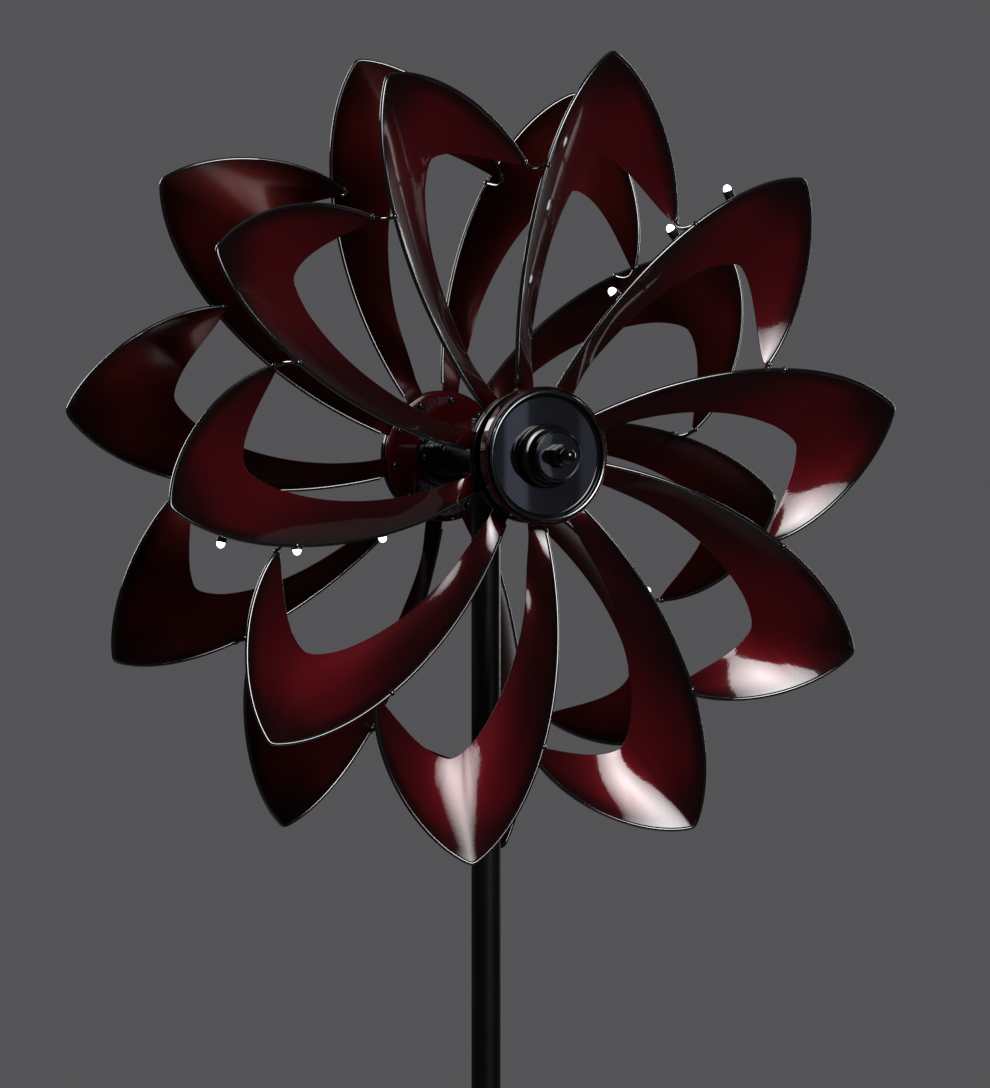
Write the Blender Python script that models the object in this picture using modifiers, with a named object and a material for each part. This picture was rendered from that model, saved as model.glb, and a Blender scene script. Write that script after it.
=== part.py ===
"""Twin-rotor garden wind spinner on a ground stake, with wind-powered lamps on its front rotor.

Two ten-petal rotors turn on one axle, on either side of the pole, with opposite pitch.
Metres, +Z up. The rotors face -Y and +Y, and the origin is under the stake's step plate.
"""
import math

import bmesh
import bpy
from mathutils import Matrix, Vector

# Driving dimensions
ROTOR_RADIUS = 0.305  # 24 inch rotors
AXLE_HEIGHT = 1.6  # with the rotor radius, 75 inches overall
POLE_RADIUS = 0.011
PETALS = 10
FRONT_PHASE = 79.0  # degrees from +X up to +Z, of the first front petal's tip
REAR_PHASE = 137.9
GAP = 0.0004  # between pieces that touch or are fastened

# Petal sheet and rods
SHEET = 0.0012
RIM_ROD_RADIUS = 0.00175
CUPS = (0.04, 0.02, 0.03)  # depth of a petal's hollow at its stem, tip and barb, as a share of its width
TAB_DEPTH = 0.071  # distance of the petals' bolted ends from the pole's middle plane
TAB_INNER_RADIUS = 0.036
TAB_WIDTH = 0.014
TAB_ANGLE = 16.0
STUD_CIRCLE = 0.043
STUD_RADIUS = 0.0020
STUD_HOLE = 0.0024

# Hub stack: distances from the pole's middle plane, along the axle
SLEEVE_HALF = 0.045
AXLE_SHOULDER = 0.050
BARREL = (0.0505, 0.0765)
PLATE = (0.0669, 0.0699)
CLAMP = (0.0721, 0.0743)
DRUM = (0.0750, 0.0960)
DRUM_BACK = 0.0855  # where the drum widens from its neck
GENERATOR = (0.0775, 0.0905)
CAP_FRONT = 0.0955
CAP_DISH = 0.0015  # how far the front cap's middle lies behind its rim
BOSS_NECK = 0.1030
BOSS_FRONT = 0.1142
NUT_FRONT = 0.1222
BALL_CENTRE = 0.1284
REAR_CAP_BACK = 0.0910
REAR_NUT = (0.0925, 0.0995)
FRONT_THREAD = 0.1000  # where the axle's thin threaded ends start
REAR_THREAD = 0.0850
BARREL_RADIUS = 0.014
FLANGE_RADIUS = 0.024
FLANGE_THICKNESS = 0.003
BEARING_RADIUS = 0.011
BEARING_WIDTH = 0.006
AXLE_RADIUS = 0.005
THREAD_RADIUS = 0.004
SHOULDER_RADIUS = 0.007
PLATE_RADIUS = 0.050
CLAMP_BORE = 0.032
STUD_PROUD = 0.002  # how far the studs stand out of the plate
DRUM_RADIUS = 0.0516
DRUM_NECK_RADIUS = 0.034
DRUM_BORE = 0.0159
COVER_WALL = 0.0012
COVER_BORE = 0.0060
CAP_RADIUS = 0.0500
COIL = (0.0235, 0.0322)
CORE_RADIUS = 0.0220
BOSS_RADIUS = 0.0240
BOSS_NECK_RADIUS = 0.0192
TRIM_RADIUS = 0.0473
TRIM_WIRE_RADIUS = 0.0016
NUT_CORNER_RADIUS = 0.0088
BALL_RADIUS = 0.0060
BALL_NECK_RADIUS = 0.0045
REAR_NUT_CORNER_RADIUS = 0.0080

# Pole and stake
POLE_BORE = 0.0098
SPIGOT_RADIUS = 0.0093
SPIGOT_BORE = 0.0082
SPIGOT_LENGTH = 0.045
JOINT_HEIGHTS = (0.53, 1.05)
POLE_TOP = AXLE_HEIGHT + 0.030
POLE_CAP = 0.004
PLUG_LENGTH = 0.010
SLEEVE_RADIUS = 0.0125
SET_SCREW_Y = -0.030
JOINT_SCREW_RADIUS = 0.0020
JOINT_SCREW_HOLE = 0.0024
JOINT_SCREW_HEAD = 0.0042
SET_SCREW_RADIUS = 0.0025
SET_SCREW_HOLE = 0.0029
SET_SCREW_HEAD = 0.0045
STEP_PLATE = (0.170, 0.090, 0.005)
SOCKET_HEIGHT = 0.080
SOCKET_RADIUS = 0.0140
PRONG_RADIUS = 0.004
PRONG_LENGTH = 0.200
PRONG_TAPER = 0.030
PRONG_PLACE = (0.070, 0.033)

# Lamps: petals that carry them, and share of the rotor's radius with distance behind the rim
LAMP_PETALS = (2, 5, 8)
LAMP_PLACES = {"inner": (0.456, 0.011), "middle": (0.676, 0.019), "outer": (0.857, 0.024)}
LAMP_RADIUS = 0.0042
LAMP_LENGTH = 0.009
LENS_RADIUS = 0.0032
LENS_LENGTH = 0.0045
ARM_GAP = 0.0038  # from the middle of the petal's sheet to a lamp's arm
WIRE_RADIUS = 0.0009

# A petal's outline: along, across and in front, each as a share of the rotor's radius
RIM = ((0.157, 0.069, 0.233), (0.499, 0.191, 0.315), (0.870, 0.143, 0.322), (1.007, -0.001, 0.2945))
BARB = ((1.007, -0.001, 0.2945), (0.985, -0.118, 0.261), (0.828, -0.272, 0.215), (0.655, -0.298, 0.2135))
STEM_INNER = ((0.170, 0.025, 0.233), (0.300, 0.065, 0.233), (0.570, 0.085, 0.239), (0.757, -0.045, 0.217))
BARB_INNER = ((0.757, -0.045, 0.217), (0.790, -0.120, 0.194), (0.675, -0.235, 0.195), (0.648, -0.290, 0.209))
CORNER = 0.90  # where the window's rounded corner starts on the stem's inner edge
STEM_SHARE = 0.78  # of the rim that faces the stem's inner edge
TIP_SHARE = 0.35  # of the barb's outer edge that faces the window's corner
TIP_ROUND = 0.025  # share of the rim and of the barb taken by the tip's round corner
ROWS = (0.0, 0.13, 0.30, 0.46, 0.61, 0.75, 0.88, 0.975, 1.0, 1.025, 1.13, 1.28, 1.48, 1.73, 2.0)
ACROSS = 3  # faces across a petal
RIM_START = 0.02
LINK_MEETS = 0.54  # of the next petal's rim, where this petal's link ends

parts = None
cutters = None


# ---------------------------------------------------------------- scene, materials and placing

def clear_scene():
    for obj in list(bpy.data.objects):
        bpy.data.objects.remove(obj, do_unlink=True)


def new_collection(name, hidden=False):
    collection = bpy.data.collections.new(name)
    bpy.context.scene.collection.children.link(collection)
    collection.hide_render = hidden
    return collection


def material(name, color, metallic, roughness):
    made = bpy.data.materials.new(name)
    made.use_nodes = True
    shader = made.node_tree.nodes["Principled BSDF"]
    shader.inputs["Base Color"].default_value = (*color, 1.0)
    shader.inputs["Metallic"].default_value = metallic
    shader.inputs["Roughness"].default_value = roughness
    return made


def place(name, mesh, look, parent=None, matrix=None):
    """A named piece of the object, in the parts collection, in its parent's frame."""
    obj = bpy.data.objects.new(name, mesh)
    parts.objects.link(obj)
    if look and not mesh.materials:
        mesh.materials.append(look)
    if parent:
        obj.parent = parent
    if matrix:
        obj.matrix_basis = matrix
    mesh.shade_smooth()
    mesh.set_sharp_from_angle(angle=math.radians(35))
    return obj


def helper(name, mesh):
    """A cutter, or a shape that a Boolean joins to a piece."""
    obj = bpy.data.objects.new(name, mesh)
    cutters.objects.link(obj)
    obj.hide_render = True
    obj.display_type = "WIRE"
    return obj


def axis_empty(name):
    empty = bpy.data.objects.new(name, None)
    empty.location = (0.0, 0.0, AXLE_HEIGHT)
    parts.objects.link(empty)
    return empty


# ---------------------------------------------------------------- shapes

def mesh_of(bm, name):
    bmesh.ops.recalc_face_normals(bm, faces=bm.faces)
    mesh = bpy.data.meshes.new(name)
    bm.to_mesh(mesh)
    bm.free()
    return mesh


def baked(obj, name):
    """The object's evaluated shape as a welded mesh of its own."""
    bpy.context.view_layer.update()
    graph = bpy.context.evaluated_depsgraph_get()
    mesh = bpy.data.meshes.new_from_object(obj.evaluated_get(graph))
    bm = bmesh.new()
    bm.from_mesh(mesh)
    bmesh.ops.transform(bm, matrix=obj.matrix_world, verts=bm.verts)
    bmesh.ops.remove_doubles(bm, verts=bm.verts, dist=1e-6)
    return mesh_of(bm, name)


def turned(name, profile, axis="Y", closed=True, segments=20):
    """A profile of (radius, distance along the axis) turned about the axis."""
    points = list(profile)
    area = sum(a[0] * b[1] - b[0] * a[1] for a, b in zip(points, points[1:] + points[:1]))
    if (area < 0) == (axis == "Y"):
        points.reverse()
    bm = bmesh.new()
    spots = [(r, h, 0.0) if axis == "Y" else (r, 0.0, h) for r, h in points]
    ring = [bm.verts.new(spot) for spot in spots]
    for a, b in zip(ring, ring[1:]):
        bm.edges.new((a, b))
    if closed:
        bm.edges.new((ring[-1], ring[0]))
    mesh = bpy.data.meshes.new(name + "_profile")
    bm.to_mesh(mesh)
    bm.free()
    obj = helper(name + "_profile", mesh)
    screw = obj.modifiers.new("turn", "SCREW")
    screw.axis = axis
    screw.steps = screw.render_steps = segments
    screw.use_merge_vertices = True
    screw.merge_threshold = 1e-5
    solid = baked(obj, name)
    bpy.data.objects.remove(obj, do_unlink=True)
    return solid


def ring(name, inner, outer, low, high, **options):
    return turned(name, [(inner, low), (outer, low), (outer, high), (inner, high)], **options)


def rod(name, path, radius, bevel=1):
    """A round rod along a list of points."""
    curve = bpy.data.curves.new(name, "CURVE")
    curve.dimensions = "3D"
    curve.bevel_depth = radius
    curve.bevel_resolution = bevel
    curve.use_fill_caps = True
    spline = curve.splines.new("POLY")
    spline.points.add(len(path) - 1)
    for point, spot in zip(spline.points, path):
        point.co = (*spot, 1.0)
    obj = helper(name + "_route", curve)
    solid = baked(obj, name)
    bpy.data.objects.remove(obj, do_unlink=True)
    return solid


def cylinder(name, radius, start, end, segments=16, tip_radius=None):
    """A cylinder or cone between two points."""
    start, end = Vector(start), Vector(end)
    bm = bmesh.new()
    bmesh.ops.create_cone(bm, cap_ends=True, segments=segments, radius1=radius,
                          radius2=radius if tip_radius is None else tip_radius,
                          depth=(end - start).length)
    turn = (end - start).to_track_quat("Z", "Y").to_matrix().to_4x4()
    bmesh.ops.transform(bm, matrix=Matrix.Translation((start + end) / 2) @ turn, verts=bm.verts)
    return mesh_of(bm, name)


def box(name, low, high):
    low, high = Vector(low), Vector(high)
    bm = bmesh.new()
    bmesh.ops.create_cube(bm, size=1.0)
    size = Matrix.Diagonal((*(high - low), 1.0))
    bmesh.ops.transform(bm, matrix=Matrix.Translation((low + high) / 2) @ size, verts=bm.verts)
    return mesh_of(bm, name)


def combined(name, base, joined=(), cut=()):
    """One mesh: the base with some meshes joined to it and others cut from it."""
    body = helper(name + "_base", base)
    tools = []
    for operation, meshes in (("UNION", joined), ("DIFFERENCE", cut)):
        for mesh in meshes:
            tool = helper(mesh.name + "_tool", mesh)
            modifier = body.modifiers.new(operation.lower(), "BOOLEAN")
            modifier.operation = operation
            modifier.solver = "EXACT"
            modifier.object = tool
            tools.append(tool)
    solid = baked(body, name)
    for obj in (body, *tools):
        bpy.data.objects.remove(obj, do_unlink=True)
    return solid


def bezier(points, share):
    """The point at a share of a cubic curve, in metres."""
    a, b, c, d = (Vector(p) * ROTOR_RADIUS for p in points)
    rest = 1.0 - share
    return a * rest**3 + b * 3 * rest**2 * share + c * 3 * rest * share**2 + d * share**3


def smooth_step(low, high, value):
    share = min(1.0, max(0.0, (value - low) / (high - low)))
    return share * share * (3 - 2 * share)


# ---------------------------------------------------------------- petals

def outer_edge(s):
    """The rim from the hub to the tip (s 0 to 1), then the barb's outer edge (1 to 2)."""
    if abs(s - 1.0) < TIP_ROUND:
        turn = (s - 1.0 + TIP_ROUND) / (2 * TIP_ROUND)
        start, end = bezier(RIM, 1.0 - TIP_ROUND), bezier(BARB, TIP_ROUND)
        return start * (1 - turn) ** 2 + bezier(RIM, 1.0) * 2 * turn * (1 - turn) + end * turn**2
    return bezier(RIM, s) if s <= 1.0 else bezier(BARB, s - 1.0)


def inner_edge(s):
    """The edge of the petal's window that faces outer_edge(s), with a rounded corner."""
    if s <= STEM_SHARE:
        return bezier(STEM_INNER, CORNER * s / STEM_SHARE)
    if s >= 1.0 + TIP_SHARE:
        share = (s - 1.0 - TIP_SHARE) / (1.0 - TIP_SHARE)
        return bezier(BARB_INNER, 1.0 - CORNER + CORNER * share)
    turn = (s - STEM_SHARE) / (1.0 + TIP_SHARE - STEM_SHARE)
    start, end = bezier(STEM_INNER, CORNER), bezier(BARB_INNER, 1.0 - CORNER)
    corner = bezier(STEM_INNER, 1.0)
    return start * (1 - turn) ** 2 + corner * 2 * turn * (1 - turn) + end * turn**2


def cup_at(s):
    """The depth of the hollow: flat at the hub, deepest in the stem and least at the tip."""
    stem, tip, barb = CUPS
    depth = stem + (tip - stem) * smooth_step(0.6, 1.0, s) + (barb - tip) * smooth_step(1.0, 1.4, s)
    return depth * min(1.0, 4.0 * s)


def petal_point(s, across):
    """A point of the petal's middle surface, hollowed a little between its edges."""
    outer, inner = outer_edge(s), inner_edge(s)
    hollow = cup_at(s) * (inner - outer).length * math.sin(math.pi * across)
    return outer.lerp(inner, across) - Vector((0.0, 0.0, hollow))


def to_local(point, side):
    """From (along, across, in front) to a rotor's X, Y and Z, on the side where it sits."""
    return Vector((point.x, side * point.z, point.y))


def tab_rows():
    """The petal's flat end between the hub plate and the clamp ring."""
    turn = math.radians(TAB_ANGLE)
    along, across = Vector((math.cos(turn), math.sin(turn), 0)), Vector((-math.sin(turn), math.cos(turn), 0))
    rows = []
    for radius in (TAB_INNER_RADIUS, STUD_CIRCLE):
        middle = along * radius + Vector((0, 0, TAB_DEPTH))
        rows.append([middle + across * TAB_WIDTH * (0.5 - share / ACROSS) for share in range(ACROSS + 1)])
    return rows


def petal_blade(name, side):
    rows = tab_rows()
    for s in ROWS:
        rows.append([petal_point(s, share / ACROSS) for share in range(ACROSS + 1)])
    bm = bmesh.new()
    grid = [[bm.verts.new(to_local(p, side)) for p in row] for row in rows]
    for row, after in zip(grid, grid[1:]):
        for i in range(ACROSS):
            bm.faces.new((row[i], row[i + 1], after[i + 1], after[i]))
    obj = helper(name + "_sheet", mesh_of(bm, name + "_sheet"))
    shell = obj.modifiers.new("sheet", "SOLIDIFY")
    shell.thickness = SHEET
    shell.offset = 0.0
    solid = baked(obj, name)
    bpy.data.objects.remove(obj, do_unlink=True)
    return solid


def rim_route(side):
    """Round the petal's outer edge, then forward to the next petal's rim, where the link ends."""
    route = [to_local(outer_edge(max(s, RIM_START)), side) for s in ROWS]
    meeting = to_local(outer_edge(LINK_MEETS), side)
    meeting = Matrix.Rotation(math.radians(360 / PETALS), 3, "Y") @ meeting
    clear = RIM_ROD_RADIUS + 2 * GAP
    return route + [meeting - Vector((0, side * clear, 0))]


def petal_mesh(name, side):
    turn = math.radians(TAB_ANGLE)
    stud = Vector((STUD_CIRCLE * math.cos(turn), 0, STUD_CIRCLE * math.sin(turn)))
    reach = Vector((0, 0.1, 0))
    hole = cylinder(name + "_hole", STUD_HOLE, stud - reach, stud + reach, segments=6)
    rim = rod(name + "_rim", rim_route(side), RIM_ROD_RADIUS, bevel=0)
    return combined(name, petal_blade(name + "_blade", side), joined=[rim], cut=[hole])


def petal_turns(phase):
    """One rotation about the axle for each petal, clockwise as seen from the front."""
    return [Matrix.Rotation(-math.radians(phase - 360 / PETALS * k), 4, "Y") for k in range(PETALS)]


def add_petals(rotor, side, phase, look, axis):
    mesh = petal_mesh(f"{rotor}_petal", side)
    for k, turn in enumerate(petal_turns(phase), 1):
        place(f"{rotor}_petal_{k:02d}", mesh, look, axis, turn)


# ---------------------------------------------------------------- hubs

def along_axle(side, *profile):
    """A profile with its distances measured from the pole towards one side."""
    return [(radius, side * distance) for radius, distance in profile]


def add_hub(rotor, side, phase, looks, axis):
    """The barrel on its two bearings, the plate, and the clamp ring with its studs."""
    low, high = BARREL
    seat = BEARING_RADIUS + GAP
    flange = PLATE[0] - GAP
    back = flange - FLANGE_THICKNESS
    barrel = [(seat, low), (BARREL_RADIUS, low), (BARREL_RADIUS, back), (FLANGE_RADIUS, back),
              (FLANGE_RADIUS, flange), (BARREL_RADIUS, flange), (BARREL_RADIUS, high), (seat, high)]
    place(f"{rotor}_hub_barrel", turned("barrel", along_axle(side, *barrel)), looks["black"], axis)
    for which, start in (("inner", low + GAP), ("outer", high - GAP - BEARING_WIDTH)):
        end = start + BEARING_WIDTH
        bearing = ring("bearing", AXLE_RADIUS + GAP, BEARING_RADIUS, side * start, side * end)
        place(f"{rotor}_{which}_bearing", bearing, looks["steel"], axis)
    spots = [turn @ Matrix.Rotation(-math.radians(TAB_ANGLE), 4, "Y") @ Vector((STUD_CIRCLE, 0, 0))
             for turn in petal_turns(phase)]
    holes, studs = [], []
    for spot in spots:
        tip = spot + Vector((0, side * (PLATE[0] - STUD_PROUD), 0))
        root = spot + Vector((0, side * (CLAMP[0] + STUD_PROUD / 2), 0))
        holes.append(cylinder("hole", STUD_HOLE, tip - (root - tip), root, segments=6))
        studs.append(cylinder("stud", STUD_RADIUS, tip, root, segments=6))
    inside = BARREL_RADIUS + GAP
    plate = ring("plate", inside, PLATE_RADIUS, side * PLATE[0], side * PLATE[1], segments=24)
    place(f"{rotor}_hub_plate", combined("plate", plate, cut=holes), looks["red"], axis)
    clamp = ring("clamp", CLAMP_BORE, PLATE_RADIUS, side * CLAMP[0], side * CLAMP[1], segments=24)
    place(f"{rotor}_clamp_ring", combined("clamp", clamp, joined=studs), looks["black"], axis)


def add_front_covers(looks, axis):
    """The generator's drum, coil, cap, trim ring and boss, which turn with the front rotor."""
    low, high = DRUM
    inside, neck = DRUM_RADIUS - COVER_WALL, DRUM_NECK_RADIUS
    drum = [(DRUM_BORE, low), (neck, low), (neck, DRUM_BACK), (DRUM_RADIUS, DRUM_BACK), (DRUM_RADIUS, high),
            (inside, high), (inside, DRUM_BACK + COVER_WALL), (neck - COVER_WALL, DRUM_BACK + COVER_WALL),
            (neck - COVER_WALL, low + COVER_WALL), (DRUM_BORE, low + COVER_WALL)]
    place("front_drum", turned("drum", along_axle(-1, *drum), segments=28), looks["red"], axis)
    coil_bore, coil_radius = COIL
    near, far = GENERATOR
    bevel = 0.002
    coil = [(coil_bore, near), (coil_radius - bevel, near), (coil_radius, near + bevel),
            (coil_radius, far - bevel), (coil_radius - bevel, far), (coil_bore, far)]
    place("coil_ring", turned("coil", along_axle(-1, *coil)), looks["copper"], axis)
    middle = CAP_FRONT - CAP_DISH
    slope = [(COVER_BORE, middle), (0.0445, middle), (0.0460, CAP_FRONT), (CAP_RADIUS, CAP_FRONT + 0.0004)]
    cap = slope + [(radius, distance - COVER_WALL) for radius, distance in reversed(slope)]
    place("front_cap", turned("cap", along_axle(-1, *cap), segments=28), looks["gloss_black"], axis)
    trim = [(TRIM_RADIUS + TRIM_WIRE_RADIUS * math.cos(a), high + TRIM_WIRE_RADIUS * (1 + math.sin(a)) + GAP)
            for a in (math.tau * i / 8 for i in range(8))]
    place("trim_ring", turned("trim", along_axle(-1, *trim), segments=28), looks["chrome"], axis)
    base, bore = middle + GAP, COVER_BORE - GAP
    boss = [(bore, base), (BOSS_RADIUS, base), (BOSS_RADIUS, BOSS_NECK - 0.0030),
            (0.0225, BOSS_NECK - 0.0005), (BOSS_NECK_RADIUS, BOSS_NECK),
            (BOSS_NECK_RADIUS, BOSS_FRONT - 0.001), (0.0182, BOSS_FRONT), (bore, BOSS_FRONT)]
    place("front_boss", turned("boss", along_axle(-1, *boss)), looks["gloss_black"], axis)


def add_rear_cap(looks, axis):
    """A domed cover over the rear rotor's clamp ring."""
    back, start = REAR_CAP_BACK, CLAMP[1] + 0.001
    outside = [(COVER_BORE, back), (0.0200, back - 0.0005), (0.0340, back - 0.0030), (0.0450, back - 0.0080),
               (PLATE_RADIUS, start)]
    inside = [(PLATE_RADIUS - COVER_WALL, start), (0.0440, back - 0.0090), (0.0335, back - 0.0042),
              (0.0200, back - 0.0018), (COVER_BORE, back - 0.0013)]
    place("rear_cap", turned("rear_cap", along_axle(1, *outside, *inside), segments=24), looks["gloss_black"],
          axis)


# ---------------------------------------------------------------- lamps

def rim_share_at(radius):
    """Where on the rim a distance from the axle lies, found by halving."""
    low, high = 0.0, 0.95
    for _ in range(30):
        middle = (low + high) / 2
        if bezier(RIM, middle).xy.length < radius:
            low = middle
        else:
            high = middle
    return low


def lamp_mesh(name, share_of_radius, behind):
    """A lamp on an arm behind the rim, with its lens just clear of the rim's outer side."""
    s = rim_share_at(share_of_radius * ROTOR_RADIUS)
    rim, ahead = outer_edge(s), outer_edge(s + 0.01)
    outward = Vector((-(ahead - rim).y, (ahead - rim).x, 0)).normalized()
    lens_base = rim - Vector((0, 0, behind)) + outward * 0.003
    at = [to_local(lens_base + outward * d, -1) for d in (-LAMP_LENGTH, 0.0, LENS_LENGTH)]
    housing = cylinder(name + "_housing", LAMP_RADIUS, at[0], at[1], segments=12)
    lens = cylinder(name + "_lens", LENS_RADIUS, at[1] - (at[1] - at[0]) * 0.1, at[2], segments=8,
                    tip_radius=LENS_RADIUS * 0.45)
    foot = petal_point(s, 0.16) - Vector((0, 0, ARM_GAP))
    head = lens_base - outward * LAMP_LENGTH * 0.7
    arm = rod(name + "_arm", [to_local(foot, -1), to_local(head, -1)], 0.0015)
    return combined(name, housing, joined=[lens, arm])


def wire_mesh(name):
    """The lamps' wire, along the back of a stem from the hub to the outer lamp."""
    last = rim_share_at(LAMP_PLACES["outer"][0] * ROTOR_RADIUS)
    count = 16
    route = []
    for i in range(count):
        s = 0.03 + (last - 0.03) * i / (count - 1)
        route.append(to_local(petal_point(s, 0.55) - Vector((0, 0, 0.0025)), -1))
    return rod(name, route, WIRE_RADIUS, bevel=0)


def add_lamps(looks, axis):
    meshes = {where: lamp_mesh(f"lamp_{where}", *spot) for where, spot in LAMP_PLACES.items()}
    wire = wire_mesh("lamp_wire")
    turns = petal_turns(FRONT_PHASE)
    for number, petal in enumerate(LAMP_PETALS, 1):
        turn = turns[petal - 1]
        place(f"lamp_wire_{number}", wire, looks["wire"], axis, turn)
        for where, mesh in meshes.items():
            place(f"lamp_{number}_{where}", mesh, looks["lens"], axis, turn)


# ---------------------------------------------------------------- stand

def hexagon_nut(name, corner_radius, low, high, bore_end, ball=None):
    """A hexagon nut on the axle, bored from its low end, with or without a ball on a short neck."""
    body = cylinder(name, corner_radius, (0, low, 0), (0, high, 0), segments=6)
    overshoot = 0.1 * (high - low)
    hole = cylinder(name + "_bore", THREAD_RADIUS + GAP, (0, low - overshoot, 0), (0, bore_end, 0))
    if ball is None:
        return combined(name, body, cut=[hole])
    radius, centre = ball
    root = high - 2 * overshoot
    neck = cylinder(name + "_neck", BALL_NECK_RADIUS, (0, root, 0), (0, centre, 0), segments=12)
    bm = bmesh.new()
    bmesh.ops.create_uvsphere(bm, u_segments=16, v_segments=8, radius=radius)
    bmesh.ops.translate(bm, vec=(0, centre, 0), verts=bm.verts)
    return combined(name, body, joined=[neck, mesh_of(bm, name + "_ball")], cut=[hole])


def add_axle(looks, axis):
    """The fixed axle, with the magnet core and the two end nuts."""
    front_end, rear_end = -(NUT_FRONT - 0.0015), REAR_NUT[1] + 0.001
    profile = [(0, front_end), (THREAD_RADIUS, front_end), (THREAD_RADIUS, -FRONT_THREAD),
               (AXLE_RADIUS, -FRONT_THREAD), (AXLE_RADIUS, -AXLE_SHOULDER), (SHOULDER_RADIUS, -AXLE_SHOULDER),
               (SHOULDER_RADIUS, AXLE_SHOULDER), (AXLE_RADIUS, AXLE_SHOULDER), (AXLE_RADIUS, REAR_THREAD),
               (THREAD_RADIUS, REAR_THREAD), (THREAD_RADIUS, rear_end), (0, rear_end)]
    place("axle", turned("axle", profile, closed=False, segments=16), looks["steel"], axis)
    near, far = GENERATOR
    bevel, bore = 0.001, AXLE_RADIUS + GAP
    core = [(bore, near), (CORE_RADIUS - bevel, near), (CORE_RADIUS, near + bevel),
            (CORE_RADIUS, far - bevel), (CORE_RADIUS - bevel, far), (bore, far)]
    place("magnet_core", turned("magnet", along_axle(-1, *core)), looks["steel"], axis)
    finial = hexagon_nut("finial", NUT_CORNER_RADIUS, -(BOSS_FRONT + GAP), -NUT_FRONT, -(NUT_FRONT - 0.001),
                         ball=(BALL_RADIUS, -BALL_CENTRE))
    place("finial_nut", finial, looks["gloss_black"], axis)
    rear = hexagon_nut("rear_nut", REAR_NUT_CORNER_RADIUS, *REAR_NUT, REAR_NUT[1] + 0.002)
    place("rear_axle_nut", rear, looks["steel"], axis)


def tube_profile(low, high, swaged):
    """An open tube, with or without a narrower spigot that reaches down into the tube below."""
    outer, inner = POLE_RADIUS, POLE_BORE
    if not swaged:
        return [(inner, low), (outer, low), (outer, high), (inner, high)]
    neck = low - SPIGOT_LENGTH
    return [(SPIGOT_BORE, neck), (SPIGOT_RADIUS, neck), (SPIGOT_RADIUS, low), (outer, low + 0.0015),
            (outer, high), (inner, high), (inner, low + 0.004), (SPIGOT_BORE, low + 0.0005)]


def joint_screw(name, look, height):
    """A pan-head screw through a tube's wall, against the spigot inside it."""
    wall, head_height = POLE_RADIUS, 0.0030
    shank = cylinder(name + "_shank", JOINT_SCREW_RADIUS, (SPIGOT_RADIUS + GAP, 0, height),
                     (wall + head_height / 3, 0, height))
    head = cylinder(name + "_head", JOINT_SCREW_HEAD, (wall + GAP, 0, height),
                    (wall + head_height, 0, height), tip_radius=JOINT_SCREW_HEAD * 0.7)
    place(name, combined(name, head, joined=[shank]), look)
    return cylinder(name + "_hole", JOINT_SCREW_HOLE, (wall / 2, 0, height), (wall * 2, 0, height))


def add_pole(looks):
    """Three tubes that plug into each other. The upper one has the axle's cross sleeve and a cap."""
    bottom = STEP_PLATE[2] + GAP
    for name, low, high, swaged in (("lower", bottom, JOINT_HEIGHTS[0], False),
                                    ("middle", JOINT_HEIGHTS[0] + GAP, JOINT_HEIGHTS[1], True)):
        tube = turned(name, tube_profile(low, high, swaged), axis="Z", segments=16)
        screw_hole = joint_screw(f"{name}_joint_screw", looks["steel"], high - 0.02)
        place(f"{name}_pole", combined(name, tube, cut=[screw_hole]), looks["black"])
    top = POLE_TOP - POLE_CAP
    tube = turned("upper", tube_profile(JOINT_HEIGHTS[1] + GAP, top, swaged=True), axis="Z", segments=16)
    height = AXLE_HEIGHT
    sleeve = cylinder("sleeve", SLEEVE_RADIUS, (0, -SLEEVE_HALF, height), (0, SLEEVE_HALF, height))
    past = SLEEVE_HALF + SLEEVE_RADIUS
    bore = cylinder("bore", SHOULDER_RADIUS + GAP, (0, -past, height), (0, past, height), segments=20)
    tapped = cylinder("tapped", SET_SCREW_HOLE, (0, SET_SCREW_Y, height),
                      (0, SET_SCREW_Y, height + 2 * SLEEVE_RADIUS))
    place("upper_pole", combined("upper", tube, joined=[sleeve], cut=[bore, tapped]), looks["black"])
    plug = [(0, top - PLUG_LENGTH), (SPIGOT_RADIUS, top - PLUG_LENGTH), (SPIGOT_RADIUS, top + GAP),
            (POLE_RADIUS, top + GAP), (POLE_RADIUS, top + 0.002), (POLE_RADIUS * 0.85, POLE_TOP - 0.0005),
            (POLE_RADIUS * 0.5, POLE_TOP), (0, POLE_TOP)]
    place("pole_cap", turned("pole_cap", plug, axis="Z", closed=False, segments=16), looks["black"])


def add_set_screw(looks):
    """The screw in the cross sleeve that holds the axle."""
    low, top = AXLE_HEIGHT + SHOULDER_RADIUS + GAP, AXLE_HEIGHT + SLEEVE_RADIUS
    head_height = 0.004
    shank = cylinder("shank", SET_SCREW_RADIUS, (0, SET_SCREW_Y, low),
                     (0, SET_SCREW_Y, top + head_height / 4))
    cap = cylinder("cap", SET_SCREW_HEAD, (0, SET_SCREW_Y, top + GAP), (0, SET_SCREW_Y, top + head_height))
    place("axle_set_screw", combined("set_screw", cap, joined=[shank]), looks["steel"])


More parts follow.
